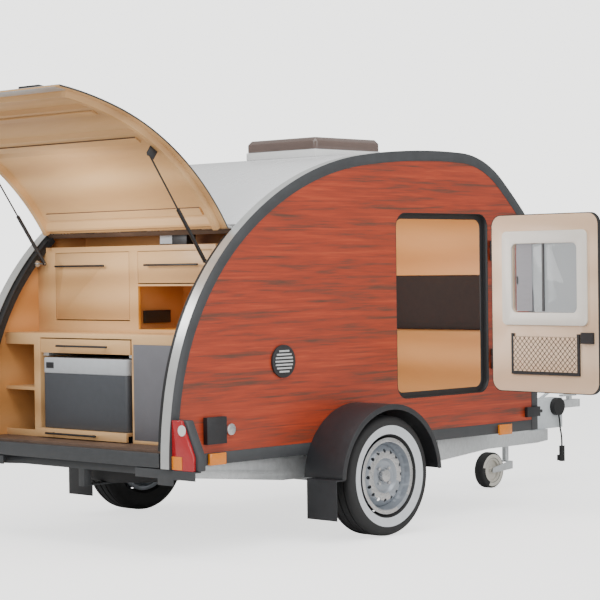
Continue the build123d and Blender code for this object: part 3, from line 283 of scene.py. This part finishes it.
def addRoughness(finish, source, low, high):
    spread = addNode(finish, "ShaderNodeMapRange", {"To Min": low, "To Max": high})
    wire(finish, source, "Fac", spread, "Value")
    wire(finish, spread, "Result", finish.node_tree.nodes["Principled BSDF"], "Roughness")


def addBump(finish, source, output, strength, distance):
    bump = addNode(finish, "ShaderNodeBump", {"Strength": strength, "Distance": distance})
    wire(finish, source, output, bump, "Height")
    wire(finish, bump, "Normal", finish.node_tree.nodes["Principled BSDF"], "Normal")


def shade(colour, factor):
    return tuple(min(1, channel * factor) for channel in colour)


def grainyFinish(name, colour, rough, spread=0.1, scale=30, fine=900, stretch=(1, 1, 1), bump=0.15,
                 metallic=0.0, sockets=None):
    finish = newFinish(name, colour, rough[0], metallic, sockets)
    space = patternSpace(finish, stretch)
    cloud = addNode(finish, "ShaderNodeTexNoise", {"Scale": scale, "Detail": 5, "Roughness": 0.6})
    wire(finish, space, "Vector", cloud, "Vector")
    addTones(finish, cloud, "Fac", ((0.3, shade(colour, 1 - spread)), (0.7, shade(colour, 1 + spread))))
    addRoughness(finish, cloud, *rough)
    grit = addNode(finish, "ShaderNodeTexNoise", {"Scale": fine, "Detail": 2})
    wire(finish, space, "Vector", grit, "Vector")
    addBump(finish, grit, "Fac", bump, 0.0004)
    return finish


def woodFinish(name, tones, stretch, bands, wander, streak, rough, bump=0.1, coat=0.0):
    # Growth bands that wander, with fine fibres along them
    finish = newFinish(name, tones[0][1], rough[0], 0, {"Coat Weight": coat, "Coat Roughness": 0.2})
    space = patternSpace(finish, stretch)
    rings = addNode(finish, "ShaderNodeTexWave", {
        "Scale": bands, "Distortion": wander, "Detail": 3, "Detail Scale": 0.8, "Detail Roughness": 0.6})
    rings.bands_direction = "Z"
    wire(finish, space, "Vector", rings, "Vector")
    cloud = addNode(finish, "ShaderNodeTexNoise", {
        "Scale": streak, "Detail": 8, "Roughness": 0.65, "Distortion": 0.6})
    wire(finish, space, "Vector", cloud, "Vector")
    blend = addNode(finish, "ShaderNodeMix", {0: 0.55})
    wire(finish, rings, "Fac", blend, 2)
    wire(finish, cloud, "Fac", blend, 3)
    addTones(finish, blend, 0, tones)
    fibres = addNode(finish, "ShaderNodeTexNoise", {"Scale": streak * 14, "Detail": 3})
    wire(finish, space, "Vector", fibres, "Vector")
    addRoughness(finish, fibres, *rough)
    addBump(finish, fibres, "Fac", bump, 0.0003)
    return finish


def streakedFinish(name, tones, stretch, scale, wander, rough):
    # Long thin streaks in a warm ground, with finer streaks laid over them
    finish = newFinish(name, tones[-1][1], rough[0], 0, {"Coat Weight": 0.12, "Coat Roughness": 0.25})
    space = patternSpace(finish, stretch)
    broad = addNode(finish, "ShaderNodeTexNoise", {
        "Scale": scale, "Detail": 7, "Roughness": 0.62, "Distortion": wander})
    wire(finish, space, "Vector", broad, "Vector")
    fine = addNode(finish, "ShaderNodeTexNoise", {
        "Scale": scale * 4, "Detail": 4, "Roughness": 0.6, "Distortion": 0.3})
    wire(finish, space, "Vector", fine, "Vector")
    blend = addNode(finish, "ShaderNodeMix", {0: 0.4})
    wire(finish, broad, "Fac", blend, 2)
    wire(finish, fine, "Fac", blend, 3)
    addTones(finish, blend, 0, tones)
    addRoughness(finish, fine, *rough)
    addBump(finish, fine, "Fac", 0.05, 0.0003)
    return finish


rosewood = streakedFinish(
    "rosewoodPanel",
    ((0.37, (0.11, 0.038, 0.020)), (0.43, (0.20, 0.040, 0.018)), (0.48, (0.31, 0.036, 0.010)),
     (0.56, (0.40, 0.044, 0.011)), (0.66, (0.48, 0.070, 0.020))),
    (0.45, 1, 11), 2.6, 0.5, (0.36, 0.48))
birch = woodFinish(
    "birchBoard",
    ((0.1, (0.46, 0.25, 0.10)), (0.5, (0.60, 0.35, 0.15)), (0.9, (0.70, 0.44, 0.21))),
    (1, 0.22, 1), 1.6, 5, 5, (0.42, 0.58), 0.06, 0.1)
doorBirch = woodFinish(
    "doorBirch",
    ((0.1, (0.62, 0.42, 0.26)), (0.5, (0.74, 0.53, 0.36)), (0.9, (0.80, 0.60, 0.43))),
    (0.3, 0.3, 1), 1.2, 3, 3, (0.42, 0.55), 0.04, 0.1)
# Birch painted brighter and warmer than the plain birch: painted lamplight for the lit niche, not the wood's
# own colour
birchPaintedLamplight = woodFinish(
    "birchPaintedLamplight",
    ((0.1, (0.55, 0.25, 0.03)), (0.5, (0.80, 0.40, 0.06)), (0.9, (0.95, 0.55, 0.12))),
    (1, 0.25, 1), 1.6, 5, 5, (0.42, 0.58), 0.06, 0.1)
panelWood = woodFinish(
    "cabinPly",
    ((0.1, (0.52, 0.22, 0.06)), (0.5, (0.66, 0.31, 0.10)), (0.9, (0.75, 0.38, 0.15))),
    (0.3, 0.25, 1), 1.4, 4, 4, (0.42, 0.55), 0.05, 0.1)
# Dark wood for the floor, also used as painted shade on one side of the hatch's cross bars
darkWoodAndPaintedShade = woodFinish(
    "floorWoodAndPaintedShade",
    ((0.1, (0.06, 0.035, 0.022)), (0.5, (0.10, 0.06, 0.04)), (0.9, (0.16, 0.10, 0.07))),
    (0.3, 1, 1), 4, 6, 6, (0.5, 0.65), 0.1)
darkTrim = grainyFinish("darkTrim", (0.045, 0.048, 0.052), (0.38, 0.5), 0.12, 20, 1400, bump=0.12)
whitePaint = grainyFinish("whitePaint", (0.78, 0.79, 0.80), (0.22, 0.32), 0.02, 4, 300, bump=0.02)
silverSkin = grainyFinish("silverSkin", (0.55, 0.56, 0.57), (0.25, 0.36), 0.04, 6, 400, bump=0.03,
                          metallic=0.55)
ribbedRail = grainyFinish("ribbedRail", (0.60, 0.61, 0.60), (0.3, 0.42), 0.05, 12, 700, bump=0.05,
                          metallic=0.6)
blackRubber = grainyFinish("blackRubber", (0.012, 0.012, 0.013), (0.55, 0.72), 0.2, 40, 1200, bump=0.2)
blackPlastic = grainyFinish("blackPlastic", (0.016, 0.016, 0.018), (0.4, 0.52), 0.15, 40, 1500, bump=0.25)
fenderPlastic = grainyFinish("fenderPlastic", (0.020, 0.021, 0.024), (0.36, 0.5), 0.12, 30, 1300, bump=0.22)
tyreRubber = grainyFinish("tyreRubber", (0.018, 0.018, 0.019), (0.6, 0.78), 0.2, 60, 900, bump=0.25)
whitewallRubber = grainyFinish("whitewallRubber", (0.62, 0.65, 0.68), (0.45, 0.6), 0.05, 30, 800, bump=0.1)
rimPaint = grainyFinish("rimPaint", (0.36, 0.39, 0.43), (0.28, 0.4), 0.05, 30, 1200, bump=0.06,
                        metallic=0.55)
zinc = grainyFinish("zincCoat", (0.66, 0.68, 0.69), (0.34, 0.5), 0.09, 45, 500, bump=0.1, metallic=0.55)
bareSteel = grainyFinish("bareSteel", (0.55, 0.55, 0.55), (0.22, 0.34), 0.06, 50, 900, bump=0.05,
                         metallic=0.95)
greyBoard = grainyFinish("greyBoard", (0.135, 0.135, 0.15), (0.42, 0.55), 0.06, 12, 1300, bump=0.15)
coolerGrey = grainyFinish("coolerGrey", (0.052, 0.057, 0.066), (0.4, 0.55), 0.08, 30, 1500, bump=0.3)
coolerLid = grainyFinish("coolerLid", (0.42, 0.44, 0.46), (0.4, 0.52), 0.04, 30, 1500, bump=0.2)
housingGrey = grainyFinish("housingGrey", (0.62, 0.66, 0.68), (0.36, 0.5), 0.05, 30, 900, bump=0.1)
creamFrame = grainyFinish("creamFrame", (0.72, 0.69, 0.62), (0.38, 0.5), 0.02, 14, 1400, bump=0.1)
whiteMoulding = grainyFinish("whiteMoulding", (0.74, 0.74, 0.73), (0.3, 0.42), 0.03, 20, 900, bump=0.06)
lensRed = grainyFinish("lensRed", (0.50, 0.012, 0.018), (0.14, 0.24), 0.08, 60, 500, bump=0.1,
                       sockets={"Transmission Weight": 0.15, "Coat Weight": 0.5})
lensAmber = grainyFinish("lensAmber", (0.90, 0.26, 0.008), (0.16, 0.26), 0.06, 60, 500, bump=0.1,
                         sockets={"Transmission Weight": 0.1, "Coat Weight": 0.5})
smokyGlass = newFinish("smokyGlass", (0.75, 0.78, 0.80), 0.03, 0, {"Transmission Weight": 0.92, "IOR": 1.2})
smokyDome = grainyFinish("smokyDome", (0.18, 0.12, 0.10), (0.12, 0.2), 0.06, 10, 300, bump=0.02,
                         sockets={"Transmission Weight": 0.35, "Coat Weight": 0.6})
greyBlind = grainyFinish("greyBlind", (0.24, 0.24, 0.26), (0.5, 0.65), 0.06, 20, 900, stretch=(1, 1, 6),
                         bump=0.2)
darkFabric = grainyFinish("darkFabric", (0.022, 0.014, 0.012), (0.8, 0.92), 0.2, 25, 1600, bump=0.5)


def seenStrength(finish, lighting, seen):
    # The backdrop looks brighter than the light it casts
    path = addNode(finish, "ShaderNodeLightPath")
    strength = addNode(finish, "ShaderNodeMapRange", {"To Min": lighting, "To Max": seen})
    wire(finish, path, "Is Camera Ray", strength, "Value")
    return strength


def makeStage():
    # A pale floor that fades into the backdrop's own tone far away, and soft light from a bright room
    stage = dict(radius=90, tone=(0.80, 0.80, 0.79), fadeStart=7.0, fadeEnd=18.0, glow=0.86, seen=3.6,
                 floorSeen=1.9)
    clearAll()
    bpy.ops.mesh.primitive_circle_add(vertices=96, radius=stage["radius"], fill_type="NGON")
    floor = bpy.context.object
    floor.location = place(0, 0, -0.0005)
    fixPlace(floor, "studioFloor")
    finish = newFinish("studioFloor", stage["tone"], 0.75)
    coords = addNode(finish, "ShaderNodeTexCoord")
    distance = addNode(finish, "ShaderNodeVectorMath", operation="LENGTH")
    wire(finish, coords, "Object", distance, 0)
    fade = addNode(finish, "ShaderNodeMapRange", {
        "From Min": stage["fadeStart"], "From Max": stage["fadeEnd"]})
    wire(finish, distance, "Value", fade, "Value")
    glow = addNode(finish, "ShaderNodeEmission", {"Color": (*stage["tone"], 1)})
    wire(finish, seenStrength(finish, stage["glow"], stage["seen"]), "Result", glow, "Strength")
    lift = addNode(finish, "ShaderNodeEmission", {"Color": (*stage["tone"], 1)})
    wire(finish, seenStrength(finish, 0, stage["floorSeen"]), "Result", lift, "Strength")
    near = addNode(finish, "ShaderNodeAddShader")
    wire(finish, finish.node_tree.nodes["Principled BSDF"], "BSDF", near, 0)
    wire(finish, lift, "Emission", near, 1)
    mixer = addNode(finish, "ShaderNodeMixShader")
    wire(finish, fade, "Result", mixer, 0)
    wire(finish, near, "Shader", mixer, 1)
    wire(finish, glow, "Emission", mixer, 2)
    wire(finish, mixer, "Shader", finish.node_tree.nodes["Material Output"], "Surface")
    wear(floor, finish)
    world = bpy.data.worlds.new("studio")
    world.use_nodes = True
    world.node_tree.nodes["Background"].inputs["Color"].default_value = (*stage["tone"], 1)
    strength = seenStrength(world, stage["glow"], stage["seen"])
    wire(world, strength, "Result", world.node_tree.nodes["Background"], "Strength")
    bpy.context.scene.world = world


lightTable = (
    # name, spot from the ground under the axle, aim, size, power
    ("skyPanel", (-1.0, -1.5, 5.5), (0.2, 0, 0.6), 6.0, 260),
    ("rearPanel", (-7.0, -2.5, 3.0), (-0.6, 0, 1.0), 3.5, 130),
    ("sidePanel", (0.5, -7.5, 2.6), (0.4, 0, 0.9), 4.0, 120),
    ("cabinGlow", (0.1, 0, 1.35), (1.4, 0, 1.0), 0.7, 22),
    ("galleyGlow", (-1.45, 0, 1.55), (-0.8, 0, 1.15), 0.35, 6),
)


def makeLights():
    for name, spot, aim, size, power in lightTable:
        lamp = bpy.data.lights.new(name, "AREA")
        lamp.energy = power
        lamp.size = size
        holder = bpy.data.objects.new(name, lamp)
        holder.visible_camera = False
        bpy.context.scene.collection.objects.link(holder)
        turn = (place(*aim) - place(*spot)).to_track_quat("-Z", "Y").to_matrix().to_4x4()
        holder.matrix_world = Matrix.Translation(place(*spot)) @ turn


makeCamera()
makeStage()
makeLights()
print("camera, floor and lights set")


# Connecting cable: the same points as its route in the solid model
cableRoute = dict(
    points=((2.552, -0.062, 0.391), (2.560, -0.064, 0.352), (2.566, -0.061, 0.312), (2.573, -0.064, 0.276),
            (2.581, -0.062, 0.240), (2.581, -0.062, 0.202)),
    radius=0.005, length=0.19)


def makeCable():
    curve = bpy.data.curves.new("connectingCable", "CURVE")
    curve.dimensions = "3D"
    curve.bevel_depth = cableRoute["radius"]
    curve.bevel_resolution = 4
    curve.use_fill_caps = True
    line = curve.splines.new("NURBS")
    line.points.add(len(cableRoute["points"]) - 1)
    for point, spot in zip(line.points, cableRoute["points"]):
        point.co = (*place(*spot), 1)
    line.order_u = 3
    line.use_endpoint_u = True
    cable = bpy.data.objects.new("connecting_cable", curve)
    bpy.context.scene.collection.objects.link(cable)
    curve.materials.append(blackRubber)
    fit(cable, "cabin", slotOf["cable"], "cable")


# Plain dressing: every CAD node with its finish and the rounding of its edges
dressTable = (
    # node, finish, edge rounding
    ("side_trims", darkTrim, 0.0008), ("edge_rails", ribbedRail, 0),
    ("roof", whitePaint, 0), ("front", whitePaint, 0), ("hatch_jambs", blackRubber, 0),
    ("hatch_seals", blackRubber, 0.003), ("floor", darkWoodAndPaintedShade, 0),
    ("skirt", darkTrim, 0.002), ("bulkhead", panelWood, 0), ("upper_cabinet", birch, 0.001),
    ("lower_cabinet", birch, 0.001), ("utility_panel", greyBoard, 0.001), ("slide_rails", zinc, 0),
    ("hatch_hinge", bareSteel, 0), ("door_frames", blackRubber, 0.0015), ("axle", zinc, 0.002),
    ("fenders", fenderPlastic, 0.0008), ("chassis", zinc, 0.002), ("overrun_housing", housingGrey, 0.006),
    ("coupling_head", zinc, 0.003), ("jockey_tube", zinc, 0), ("tail_cases", darkTrim, 0.006),
    ("side_fittings", blackPlastic, 0.002), ("roof_vent_frame", whiteMoulding, 0.003),
    ("roof_vent_dome", smokyDome, 0.004), ("galley_electrics", blackPlastic, 0.002),
    ("hatch_frame", birch, 0.0012), ("hatch_fittings", blackPlastic, 0.001),
    ("strut_cylinders", blackPlastic, 0), ("strut_rods", blackPlastic, 0),
    ("cool_box", coolerGrey, 0.003), ("cool_box_lid", coolerLid, 0.005),
    ("jockey_stem", zinc, 0), ("jockey_fork", zinc, 0.001),
    ("rim_near", rimPaint, 0.001), ("rim_far", rimPaint, 0.001),
    ("tail_lenses", lensRed, 0.003),
)
dressed = {}
for node, finish, edge in dressTable:
    dressed[node] = dressNode(node, finish, edge)
print("plain dressing done")


def addBar(name, spot, wide, deep, half):
    # A cross bar lying on the hatch's board at its nearest point, square to it
    seat, out = dressed["hatch_frame"].closest_point_on_mesh(spot)[1:3]
    clearAll()
    bpy.ops.mesh.primitive_cube_add(
        size=1, location=seat + out * (deep / 2 - 0.0005), rotation=(0, math.atan2(out.x, out.z), 0))
    bpy.context.object.scale = (wide, 2 * half, deep)
    bar = fixPlace(bpy.context.object, name)
    roundEdges(bar, 0.002)
    return wear(bar, birch)


def dressBody():
    for node, inward in (("side_near", 1), ("side_far", -1)):
        piece = dressNode(node, panelWood)
        paintFaces(piece, rosewood, lambda spot, normal: normal.y * inward < -0.9)
    middle = place(0.3, 0, 1.0)
    paintFaces(dressed["front"], panelWood, lambda spot, normal: (spot - middle).dot(normal) < 0)
    roofEnd = place(-0.72, 0, 0).x
    paintFaces(dressed["roof"], panelWood, lambda spot, normal: (spot - middle).dot(normal) < 0)
    paintFaces(dressed["roof"], darkWoodAndPaintedShade,
               lambda spot, normal: spot.x < roofEnd and normal.x < -0.3 and normal.z < 0.3)
    # The chassis behind the axle is painted in the dark trim finish, darker than the zinc frame ahead of it
    behind = place(-0.36, 0, 0).x
    paintFaces(dressed["chassis"], darkTrim, lambda spot, normal: spot.x < behind)


def dressHatch():
    dressNode("hatch_skin", silverSkin)
    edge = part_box("hatch_frame")[1].y - 0.002
    paintFaces(dressed["hatch_frame"], blackRubber,
               lambda spot, normal: abs(spot.y) > edge and abs(normal.y) > 0.9)
    # Cross bars: where they cross the rib in the photograph, in metres from the ground under the axle
    barTable = (("farBar", (-1.444, 1.990)), ("middleBar", (-1.215, 1.825)), ("lowBar", (-0.835, 1.585)))
    under = Vector((-0.04, 0, -0.055))  # to the inner side of the board, where the bars lie
    bars = [addBar(name, place(x, 0, z) + under, 0.040, 0.010, 0.555) for name, (x, z) in barTable]
    # The bar faces pointing up and rearward are painted dark: painted shade along each bar's edge
    for bar in bars:
        paintFaces(bar, darkWoodAndPaintedShade, lambda spot, normal: normal.z > 0.4 and normal.x < -0.4)
    fit(joinAll("hatch_bars", bars), "hatch", slotOf["hatch_frame"])


def dressFronts():
    # Flaps, drawer and tray: birch fronts with black bar handles standing off them
    fronts = {"upper_flap": -0.787, "locker_flap": -0.787, "drawer": -1.0, "tray": -1.032}
    for node, faceX in fronts.items():
        piece = dressNode(node, birch, 0.001)
        limit = place(faceX, 0, 0).x - 0.0005
        paintFaces(piece, blackPlastic, lambda spot, normal: spot.x < limit)
    niche = dict(low=1.003, high=1.21, side=-0.05)
    deep = place(-0.785, 0, 0).x
    low, high = place(0, 0, niche["low"]).z - 0.004, place(0, 0, niche["high"]).z + 0.004
    # The niche's inner faces get the brighter, warmer birch: painted warm lamplight standing in for the
    # niche's own lamp
    paintFaces(dressed["upper_cabinet"], birchPaintedLamplight,
               lambda spot, normal: spot.x > deep and low < spot.z < high and spot.y < niche["side"] + 0.02)
    screen = addBlock("monitorFace", place(-0.7025, -0.205, 1.412), place(-0.7, -0.120, 1.468))
    fit(wear(screen, coolerLid), "cabin", slotOf["galley_electrics"])
    display = addBlock("coolBoxDisplay", place(-1.0105, 0.320, 0.818), place(-1.008, 0.375, 0.846))
    fit(wear(display, blackPlastic), nodes["cool_box_lid"]["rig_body"], slotOf["cool_box"])


# Doors: u runs from the hinge along the leaf, depth from its outer face inward
doorPlan = dict(hinge=(1.075, 0.735), swing=86)


def doorPoint(side, u, depth, z):
    x, y = doorPlan["hinge"]
    if side == "far":
        return place(x - u, y - depth, z)
    turn = math.radians(doorPlan["swing"])
    return place(
        x - u * math.cos(turn) - depth * math.sin(turn), -y - u * math.sin(turn) + depth * math.cos(turn), z)


def doorBlock(side, name, uSpan, depthSpan, zSpan):
    # A block in the shut far door's place, swung to the open near door when it belongs there
    x, y = doorPlan["hinge"]
    low = place(x - uSpan[1], y - depthSpan[1], zSpan[0])
    high = place(x - uSpan[0], y - depthSpan[0], zSpan[1])
    if side == "far":
        return addBlock(name, low, high)
    block = addBlock(name, (low.x, -high.y, low.z), (high.x, -low.y, high.z))
    turn = Matrix.Rotation(math.radians(doorPlan["swing"]), 4, "Z")
    pivot = Matrix.Translation(place(x, -y, 0))
    workOn(block)
    block.matrix_world = pivot @ turn @ pivot.inverted()
    return fixPlace(block, name)


def doorDepth(side, spot):
    x, y = doorPlan["hinge"]
    if side == "far":
        return y - spot.y
    swing = math.radians(doorPlan["swing"])
    return (spot - place(x, -y, 0)).dot(Vector((-math.sin(swing), math.cos(swing), 0)))


def makeNet(side):
    net = dict(u=(0.186, 0.602), z=(0.747, 0.921), depth=0.0457, mesh=0.030, thread=0.0013)
    (left, right), (low, high) = net["u"], net["z"]
    threads = []
    count = int((right - left + high - low) / net["mesh"])
    for number in range(1, count + 1):
        reach = left + number * net["mesh"]
        start = (reach, low) if reach < right else (right, low + reach - right)
        end = (reach - (high - low), high) if reach - (high - low) > left else (left, low + reach - left)
        for mirrored in (False, True):
            ends = [(left + right - u, z) if mirrored else (u, z) for u, z in (start, end)]
            points = [doorPoint(side, u, net["depth"], z) for u, z in ends]
            threads.append(addTube("thread", *points, net["thread"], 6))
    return wear(joinAll("net_" + side, threads), blackRubber)


def dressDoors():
    for side in ("near", "far"):
        leaf = dressNode("door_" + side, doorBirch, 0.001)
        if side == "far":
            paintFaces(leaf, rosewood, lambda spot, normal: normal.y > 0.9)
        else:
            paintFaces(leaf, rosewood, lambda spot, normal: normal.x > 0.9)
        dressNode("door_edge_" + side, blackRubber)
        window = dressNode("door_window_" + side, creamFrame, 0.004)
        outer, inner = 0.0205, 0.0275  # the pane's depth in the leaf
        paintFaces(window, smokyGlass, lambda spot, normal: outer < doorDepth(side, spot) < inner)
        blind = doorBlock(side, "blind_" + side, (0.198, 0.302), (0.028, 0.031), (1.052, 1.398))
        wear(blind, greyBlind)
        bars = [doorBlock(side, "bar", (u - 0.006, u + 0.006), (0.029, 0.037), (1.052, 1.398))
                for u in (0.379, 0.618)]
        bars.append(doorBlock(side, "catch", (0.200, 0.208), (0.031, 0.036), (1.19, 1.23)))
        trimming = joinAll("window_bars_" + side, bars)
        wear(trimming, blackPlastic)
        body = nodes["door_" + side]["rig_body"]
        backing = doorBlock(side, "net_backing_" + side, (0.185, 0.605), (0.0438, 0.0446), (0.746, 0.922))
        fit(wear(backing, doorBirch), body, slotOf["door_edge_" + side])
        fit(blind, body, slotOf["door_window_" + side])
        fit(trimming, body, slotOf["door_edge_" + side])
        fit(makeNet(side), body, slotOf["door_edge_" + side])


def dressWheels():
    wheel = dict(radius=0.289, y=0.870)
    whitewall = dict(inner=0.199, outer=0.2426, beyond=0.06)
    steel = dict(beyond=0.0385, cap=0.031, bolt=0.0095, boltCircle=0.049)
    # Half of the tyre's section as (radius, distance from the wheel's middle), from the bead to the tread
    side = ((0.187, 0.056), (0.196, 0.066), (0.200, 0.0742), (0.2425, 0.0832), (0.247, 0.0838),
            (0.262, 0.0835), (0.274, 0.078), (0.282, 0.070), (0.2865, 0.060))
    tread = []
    for middle in (0.042, 0.0):
        tread += [(0.2878, middle + 0.0045), (0.281, middle + 0.0035),
                  (0.281, middle - 0.0035), (0.2878, middle - 0.0045)]
    tread += [(r, -y) for r, y in reversed(tread[:4])]
    hub = place(0, 0, wheel["radius"])
    profile = [*side, *tread, *((r, -y) for r, y in reversed(side))]
    profile.append(profile[0])
    for name, sign in (("near", -1), ("far", 1)):
        centre = hub + Vector((0, sign * wheel["y"], 0))
        tyre = turnedShape("tyre_" + name + "_dressed", profile, centre, 128)
        smooth(tyre, 30)
        wear(tyre, tyreRubber)
        outside = sign * (wheel["y"] + whitewall["beyond"])
        paintFaces(
            tyre, whitewallRubber, lambda spot, normal: sign * (spot.y - outside) > 0
            and whitewall["inner"] < math.hypot(spot.x - hub.x, spot.z - hub.z) < whitewall["outer"])
        fit(tyre, nodes["tyre_" + name]["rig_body"], slotOf["tyre_" + name], "tyre_" + name)
        turns = [math.radians(45 + 90 * number) for number in range(4)]
        bolts = [hub + Vector((math.cos(turn), 0, math.sin(turn))) * steel["boltCircle"] for turn in turns]
        middle = sign * (wheel["y"] + steel["beyond"])
        paintFaces(dressed["rim_" + name], bareSteel, lambda spot, normal: sign * (spot.y - middle) > 0 and (
            math.hypot(spot.x - hub.x, spot.z - hub.z) < steel["cap"]
            or min(math.hypot(spot.x - bolt.x, spot.z - bolt.z) for bolt in bolts) < steel["bolt"]))
    spare, spareRim = dressNode("spare_wheel", tyreRubber), 0.184
    low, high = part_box("spare_wheel")
    centre = (low + high) / 2
    paintFaces(spare, rimPaint,
               lambda spot, normal: math.hypot(spot.x - centre.x, spot.y - centre.y) < spareRim)
    jockey, jockeyRim = dressNode("jockey_wheel", tyreRubber, 0.003), 0.0695
    pin = place(1.957, 0, 0.103)
    paintFaces(jockey, creamFrame,
               lambda spot, normal: math.hypot(spot.x - pin.x, spot.z - pin.z) < jockeyRim)


def dressLamps():
    lens = dressed["tail_lenses"]
    rear = place(-1.05, 0, 0).x
    paintFaces(lens, lensAmber, lambda spot, normal: spot.x > rear)
    for name, sign in (("near", -1), ("far", 1)):
        inner, outer = sorted((sign * 0.7265, sign * 0.792))
        amber = addBlock("amberLens_" + name, place(-1.2025, inner, 0.404), place(-1.1995, outer, 0.462))
        roundEdges(amber, 0.001)
        fit(wear(amber, lensAmber), "cabin", slotOf["tail_lenses"])
        y = sign * 0.793
        glass = addTube("reflector_" + name, place(-1.2025, y, 0.578), place(-1.1995, y, 0.578), 0.024, 40)
        fit(wear(glass, whiteMoulding), "cabin", slotOf["tail_lenses"])


def dressFittings():
    lock, lockRadius = place(-0.836, 0, 0.558), 0.03
    paintFaces(dressed["side_fittings"], bareSteel,
               lambda spot, normal: math.hypot(spot.x - lock.x, spot.z - lock.z) < lockRadius)
    vent = dict(x=-0.489, z=0.853, radius=0.058, face=-0.733, pitch=0.016)
    slats = []
    for row in range(-3, 4):
        z = vent["z"] + row * vent["pitch"]
        half = math.sqrt(vent["radius"] ** 2 - (row * vent["pitch"]) ** 2)
        low = place(vent["x"] - half, vent["face"] - 0.003, z - 0.004)
        high = place(vent["x"] + half, vent["face"] + 0.0005, z + 0.004)
        slats.append(addBlock("slat", low, high))
    fit(wear(joinAll("vent_slats", slats), zinc), "cabin", slotOf["side_fittings"])
    dressed["plug"] = dressNode("plug", blackRubber, 0.003)
    dressed["cable_coil"] = dressNode("cable_coil", blackRubber)


# Padded pieces: each swells as cloth from a slightly smaller shape, and no point moves past its cap
padTable = dict(
    mattress=dict(inset=0.012, voxel=0.022, cap=0.011, pressure=4),
    front_pad=dict(inset=0.006, voxel=0.009, cap=0.0055, pressure=4))


def makePad(node, plan):
    piece = copyOf(nodes[node], node + "_padded")
    del piece["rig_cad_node"]
    low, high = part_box(node)
    size = high - low
    editAll(piece)
    shares = [(length - 2 * plan["inset"]) / length for length in size]
    bpy.ops.transform.resize(value=shares, center_override=(low + high) / 2)
    bpy.ops.object.mode_set(mode="OBJECT")
    applyModifier(piece, "REMESH", mode="VOXEL", voxel_size=plan["voxel"])
    start = [vertex.co.copy() for vertex in piece.data.vertices]
    workOn(piece)
    bpy.ops.object.modifier_add(type="CLOTH")
    cloth = piece.modifiers[-1]
    cloth.settings.quality = 3
    cloth.settings.use_pressure = True
    cloth.settings.uniform_pressure_force = plan["pressure"]
    cloth.settings.effector_weights.gravity = 0
    for number in range(1, 21):
        bpy.context.scene.frame_set(number)
    bpy.ops.object.modifier_apply(modifier=cloth.name)
    bpy.context.scene.frame_set(1)
    for vertex, spot in zip(piece.data.vertices, start):
        move = vertex.co - spot
        if move.length > plan["cap"]:
            vertex.co = spot + move.normalized() * plan["cap"]
    applyModifier(piece, "SUBSURF", levels=1, render_levels=1)
    smooth(piece, 60)
    wear(piece, darkFabric)
    return fit(piece, "cabin", slotOf[node], node)


dressBody()
dressHatch()
dressFronts()
print("body, hatch and galley dressed")
dressDoors()
print("doors dressed")
dressWheels()
dressLamps()
dressFittings()
makeCable()
print("wheels, lamps, fittings and cable dressed")
for node, plan in padTable.items():
    makePad(node, plan)
print("padded pieces made")
